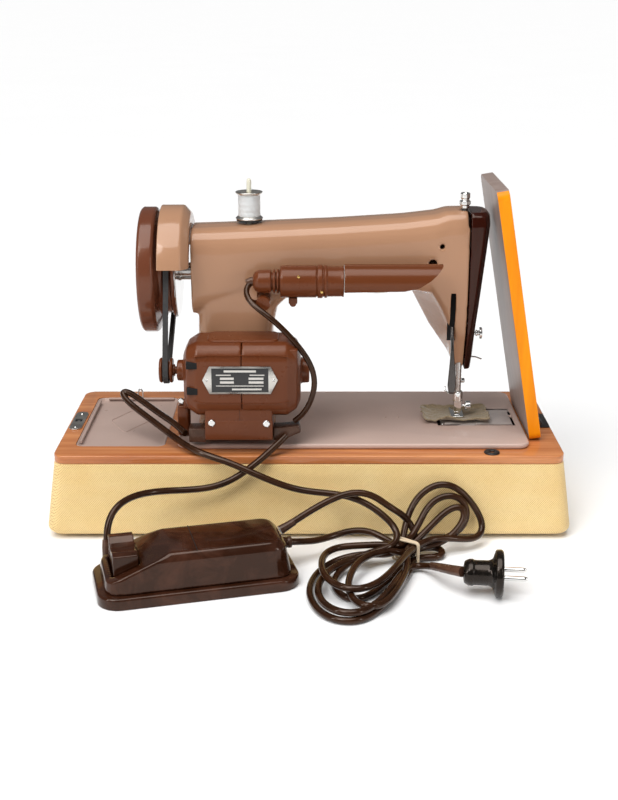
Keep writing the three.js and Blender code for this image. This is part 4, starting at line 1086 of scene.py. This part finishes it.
# ---------------------------------------------------------------- needle head, controls and spool
def stitching():
    y0 = PRESSER_AT[1]
    bar = rod("z", PRESSER_AT, 128.5, 322, 3.2, 0.4, 40)
    make("presser_rod", bar, "presser", "steel", stands_for="presser_bar")
    foot = [softened("presser_foot", 0.4, 2)]
    foot.append(lathe("x", (0, y0, 112), [(172, 0), (172, 4.8), (177, 4.8), (177.6, 4.2), (177.6, 0)], 0.5,
                      32))
    foot.append(ribs(16, 22.5, "X", (172.3, 176.8, -0.35, 0.35, 4.5, 5.1), (0, y0, 112)))
    foot.append(lathe("z", PRESSER_AT, [(118, 0), (118, 5.6), (128, 5.6), (129, 4.8), (129, 0)], 0.5, 40))
    make("foot", joined(*foot), "presser", "chrome", stands_for="presser_foot")
    bar = [(131.9, 0), (131.9, 4.2), (133, 4.4), (141, 4.4), (142, 3.2), (300, 3.2), (300, 0)]
    make("needle_rod", lathe("z", NEEDLE_AT, bar, 0.3, 40), "needle_bar", "steel", stands_for="needle_bar")
    clamp = [lathe("x", (0, 3, 137), [(166.5, 0), (166.5, 2.6), (171, 2.6), (171.6, 2), (171.6, 0)], 0.3,
                   24),
             lathe("z", NEEDLE_AT, [(143, 3), (143, 4.8), (145, 4.8), (145, 3)], 0.3, 32)]
    make("needle_clamp", joined(*clamp), "needle_bar", "chrome")
    needle = [(101.5, 0), (103.6, 0.45), (106, 0.72), (122, 0.8), (124.5, 1.3), (131.7, 1.3), (131.7, 0)]
    make("needle_steel", lathe("z", NEEDLE_AT, needle, 0.2, 20), "needle_bar", "chrome",
         stands_for="needle")
    dressed("take_up_lever", "take_up_arm", 0.7, 3, "take_up", "chrome")
    dressed("presser_lifter", "lifter_blade", 1.4, 4, "presser_lifter", "dark_metal", "lifter_metal")
    nut = [(330.2, 0), (330.2, 4.6), (333, 4.6), (334, 5.8), (337.5, 5.8), (338.4, 4.4), (340, 4.4),
           (341, 5.1), (345.4, 5.1), (346.2, 4.2), (346.2, 2.6), (345.4, 2.2), (345.4, 0)]
    knurl = ribs(20, 18, "Z", (-0.3, 0.3, 5.5, 6.05, 334.2, 337.2), PRESSER_AT)
    threads = [lathe("z", PRESSER_AT, [(a, 3.4), (a + 0.5, 4.5), (a + 1, 3.4)], 0.05, 40)
               for a in (326.4, 327.5, 328.6)]
    make("pressure_knob", joined(lathe("z", PRESSER_AT, nut, 0.35), knurl), "pressure_nut", "chrome",
         stands_for="pressure_nut")
    make("pressure_thread", joined(*threads), "presser", "steel")
    cutter = sweep([(160, -15, 134), (156, -19, 131), (151, -21, 130), (147.5, -20, 133), (148, -17, 137)],
                   lambda t: 1.7 - 0.9 * t, 12)
    make("thread_cutter", cutter, "presser", "chrome")


def controls():
    face_discs = [(33.6, 0), (33.6, 5), (36, 5), (36, 12.6), (36.6, 13.6), (37.3, 14), (38.2, 13.4),
                  (38.8, 12), (38.8, 3), (50, 3), (50, 0)]
    make("tension_plates", lathe("y", TENSION_AT, face_discs, 0.3), "root", "chrome",
         stands_for="tension_discs")
    dial = [(42, 3.4), (42, 10.4), (44, 10.6), (50.6, 10.2), (52.8, 8.6), (52.8, 3.4)]
    make("tension_knob", lathe("y", TENSION_AT, dial, 0.5), "tension_dial", "chrome",
         stands_for="tension_dial")
    marks = ribs(10, 36, "Y", (-0.3, 0.3, 43.5, 49.5, 10, 10.75), TENSION_AT)
    make("tension_marks", marks, "tension_dial", "dark_metal")
    spring = [(146 + 4.6 * math.cos(t), 38.9 + 0.17 * t, 200 + 4.6 * math.sin(t)) for t in
              (k * math.pi / 8 for k in range(17))]
    make("tension_spring", sweep(spring, 0.5, 8), "root", "steel")
    for node, name, body in (("stitch_lever", "stitch_regulator", "stitch_lever"),
                             ("winder_frame", "winder_bracket", "winder_frame")):
        dressed(node, name, 1.0, 3, body, "steel")
    spindle = [(-154.5, 0), (-154.5, 9.4), (-152.5, 11.2), (-146.5, 11.2), (-144.5, 9.6), (-144.5, 2.6),
               (-97, 2.6), (-97, 9), (-95.8, 9), (-95.8, 4), (-87, 4), (-87, 9), (-85.8, 9), (-85.8, 0)]
    make("winder_shaft", lathe("x", WINDER_AXIS, spindle, 0.3), "winder_spindle", "steel",
         stands_for="winder_spindle")
    ring = lathe("x", WINDER_AXIS, [(-151.9, 10.8), (-151.9, 11.9), (-147.3, 11.9), (-147.3, 10.8)], 0.4)
    make("winder_tyre", ring, "winder_spindle", "belt_rubber")
    scale = ribs(9, 15, "Y", (-0.35, 0.35, 38.4, 38.9, 16, 20.5), (-77, 0, 190), -60)
    make("stitch_scale", scale, "stitch_lever", "dark_metal")


def spool():
    pin = [(306, 0), (306, 2.2), (315.6, 2.2), (315.6, 9), (316.6, 9), (316.6, 2.6), (356.4, 2.5),
           (358.6, 1.9), (359.5, 0.9), (359.5, 0)]
    make("spool_spike", lathe("z", SPOOL_AT, pin, 0.3, 40), "root", "cream_plastic", stands_for="spool_pin")
    make("spool_felt", lathe("z", SPOOL_AT, [(315.2, 3), (315.2, 13.6), (316.9, 13.6), (316.9, 3)], 0.5,
                             48),
         "root", "belt_rubber")
    winds = [(320.2, 10.8), (320.4, 11.5)]
    winds += [(320.8 + 0.7 * k + d,
               11.55 + 0.12 * (d > 0) + 0.1 * math.sin(k * 0.8)) for k in range(31) for d in (0, 0.35)]
    winds += [(342.6, 11.4), (342.8, 3.3), (320.2, 3.3)]
    make("cotton", lathe("z", SPOOL_AT, winds, 0.1, 64), "thread_spool", "thread",
         stands_for="thread_spool")
    flanges = [lathe("z", SPOOL_AT, [(317.1, 3.2), (317.1, 14.2), (317.9, 14.5), (318.7, 14),
                                     (320.4, 11.8), (320.4, 3.2)], 0.4, 64),
               lathe("z", SPOOL_AT, [(342.4, 3.2), (342.4, 11.8), (344.2, 14), (345, 14.5),
                                     (345.8, 14.1), (345.8, 5), (345, 4.4), (345, 3.2)], 0.4, 64)]
    make("spool_flanges", joined(*flanges), "thread_spool", "thread", "label_silver")


# ---------------------------------------------------------------- foot pedal
PEDAL = (-110.5, -213.5, 0)
PEDAL_TURN = 14.4


def pedal():
    dressed("pedal_base", "pedal_plate", 1.2, 4, "root", "bakelite")
    well = place(block(-82, -56, -23, 23, 15.6, 80), PEDAL_TURN, PEDAL)
    shell = carved(moulded(copied("pedal_housing"), 1.1, 14), well)
    make("pedal_shell", shell, "root", "bakelite", sharp=60, stands_for="pedal_housing")
    make("pedal_plunger", moulded(copied("pedal_button"), 0.7, 6), "pedal_button", "bakelite", sharp=60,
         stands_for="pedal_button")
    seam = sweep([(-2, -29.5, 46.6), (-2, -27, 47.2), (-2, 27, 47.2), (-2, 29.5, 46.6)], 0.35, 8)
    make("pedal_seam", place(seam, PEDAL_TURN, PEDAL), "root", "bakelite", "vent")
    relief = lathe("x", (0, 11, 26), [(83, 0), (83, 7.4), (86.5, 7.4), (87.5, 6.4), (94, 5.2),
                                      (95.5, 6), (98, 6), (99, 4.4), (99, 0)], 0.6, 40)
    make("pedal_lead_relief", place(relief, PEDAL_TURN, PEDAL), "root", "bakelite", "lead_end")
    inlet = sweep([(-197.6, -199, 18.5), (-198.8, -195.2, 28), (-199.2, -192.8, 35)],
                  lambda t: 5.2 - 1.3 * t)
    make("pedal_flex_relief", inlet, "root", "bakelite", "lead_end")
    inlet = sweep([(-29, -174.6, 36.6), (-22.5, -171.6, 39.4), (-15, -168, 43)], lambda t: 4.8 - 1 * t)
    make("speed_flex_relief", inlet, "root", "bakelite", "lead_end")


# ---------------------------------------------------------------- cloth sample
def cloth():
    """A torn scrap with curled edges, one layer thick, with a hole where the needle passes."""
    columns, rows = 84, 60
    points, faces = [], []
    for i in range(columns + 1):
        for j in range(rows + 1):
            u, v = i / columns, j / rows
            edge = noise.noise(Vector((u * 12, 0.3, 0))) * 3 * (1 if v > 0.5 else -1)
            side = noise.noise(Vector((v * 10, 4.1, 0))) * 3 * (1 if u > 0.5 else -1)
            x = 125 + 73 * u + side * (abs(u - 0.5) * 2) ** 3
            y = -26.5 + 46 * v + edge * (abs(v - 0.5) * 2) ** 3
            ripple = noise.noise(Vector((x * 0.045, y * 0.05, 2.0))) * 1.1 + noise.noise(Vector((x * 0.2,
                                                                                                 y * 0.2,
                                                                                                 5))) * 0.5
            border = min(1.0, min(u, 1 - u, 1.1 * v, 1.1 - 1.1 * v) * 6)
            curl = (1 - border) ** 2 * (3.2 + 4.5 * noise.noise(Vector((u * 4, v * 4, 9.0))))
            pressed = min(1.0, math.hypot((x - 163) / 15, (y + 2) / 22))
            points.append((x, y, 97.9 + 0.9 * pressed + (ripple + max(0.0, curl)) * pressed))
    for i in range(columns):
        for j in range(rows):
            a = i * (rows + 1) + j
            if math.hypot(points[a][0] - 163, points[a][1] - 3) > 3:
                faces.append((a, a + 1, a + rows + 2, a + rows + 1))
    mesh = from_points(points, faces)
    mesh = baked(mesh, ("SOLIDIFY", {"thickness": 1.5 * MM, "offset": 1.0}))
    piece = make("cloth_scrap", mesh, "root", "felt", sharp=180, stands_for="test_cloth")


for build in (case, deck, tray, locks, leaf, bed, arm, face, wheel, guard, belt, motor, terminal_box, lamp,
              stitching, controls, spool, pedal, cloth):
    build()

for node in ("main_shaft", "vertical_shaft", "rotary_hook"):
    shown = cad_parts[node]
    if not shown.material_slots:
        shown.data.materials.append(looks["steel"])
    for material_slot in shown.material_slots:
        material_slot.material = looks["steel"]


# ---------------------------------------------------------------- floor and light
def stage_floor():
    mesh = bpy.data.meshes.new("floor")
    reach = 60          # metres
    corners = [(-reach, -reach, 0), (reach, -reach, 0), (reach, reach, 0), (-reach, reach, 0)]
    mesh.from_pydata(corners, [], [(0, 1, 2, 3)])
    floor = new_object("floor", mesh)
    f = Finish("floor", 0.9, spec=0.1)
    f.colour(f.mix(f.noise(2, 2), (0.96, 0.96, 0.96), (0.98, 0.98, 0.98)))
    mesh.materials.append(f.material)


def light(name, kind, towards, energy, **settings):
    """A light that points along a direction, with its other settings by name."""
    data = bpy.data.lights.new(name, kind)
    data.energy = energy
    for key, value in settings.items():
        setattr(data, key, value)
    made = new_object(name, data)
    made.rotation_euler = Vector(towards).to_track_quat("-Z", "Y").to_euler()
    return made


stage_floor()
world = bpy.data.worlds.new("studio")
world.use_nodes = True
background = world.node_tree.nodes["Background"].inputs
background["Color"].default_value = (1, 1, 1, 1)
background["Strength"].default_value = 0.15
bpy.context.scene.world = world
bpy.context.scene.view_settings.view_transform = "Standard"
light("top", "SUN", (0.12, 0.25, -1), 2.25, angle=math.radians(50))
light("key", "SUN", (0.6, 0.85, -1), 0.95, angle=math.radians(24))
for name, at, width, height, power in (("strip_left", (-1.6, -1.1, 0.9), 0.16, 1.2, 7),
                                       ("strip_right", (1.5, -1.3, 0.8), 0.14, 1.0, 6)):
    strip = light(name, "AREA", Vector((0, 0, 0.2)) - Vector(at), power, shape="RECTANGLE",
                  size=width, size_y=height)
    strip.location = at
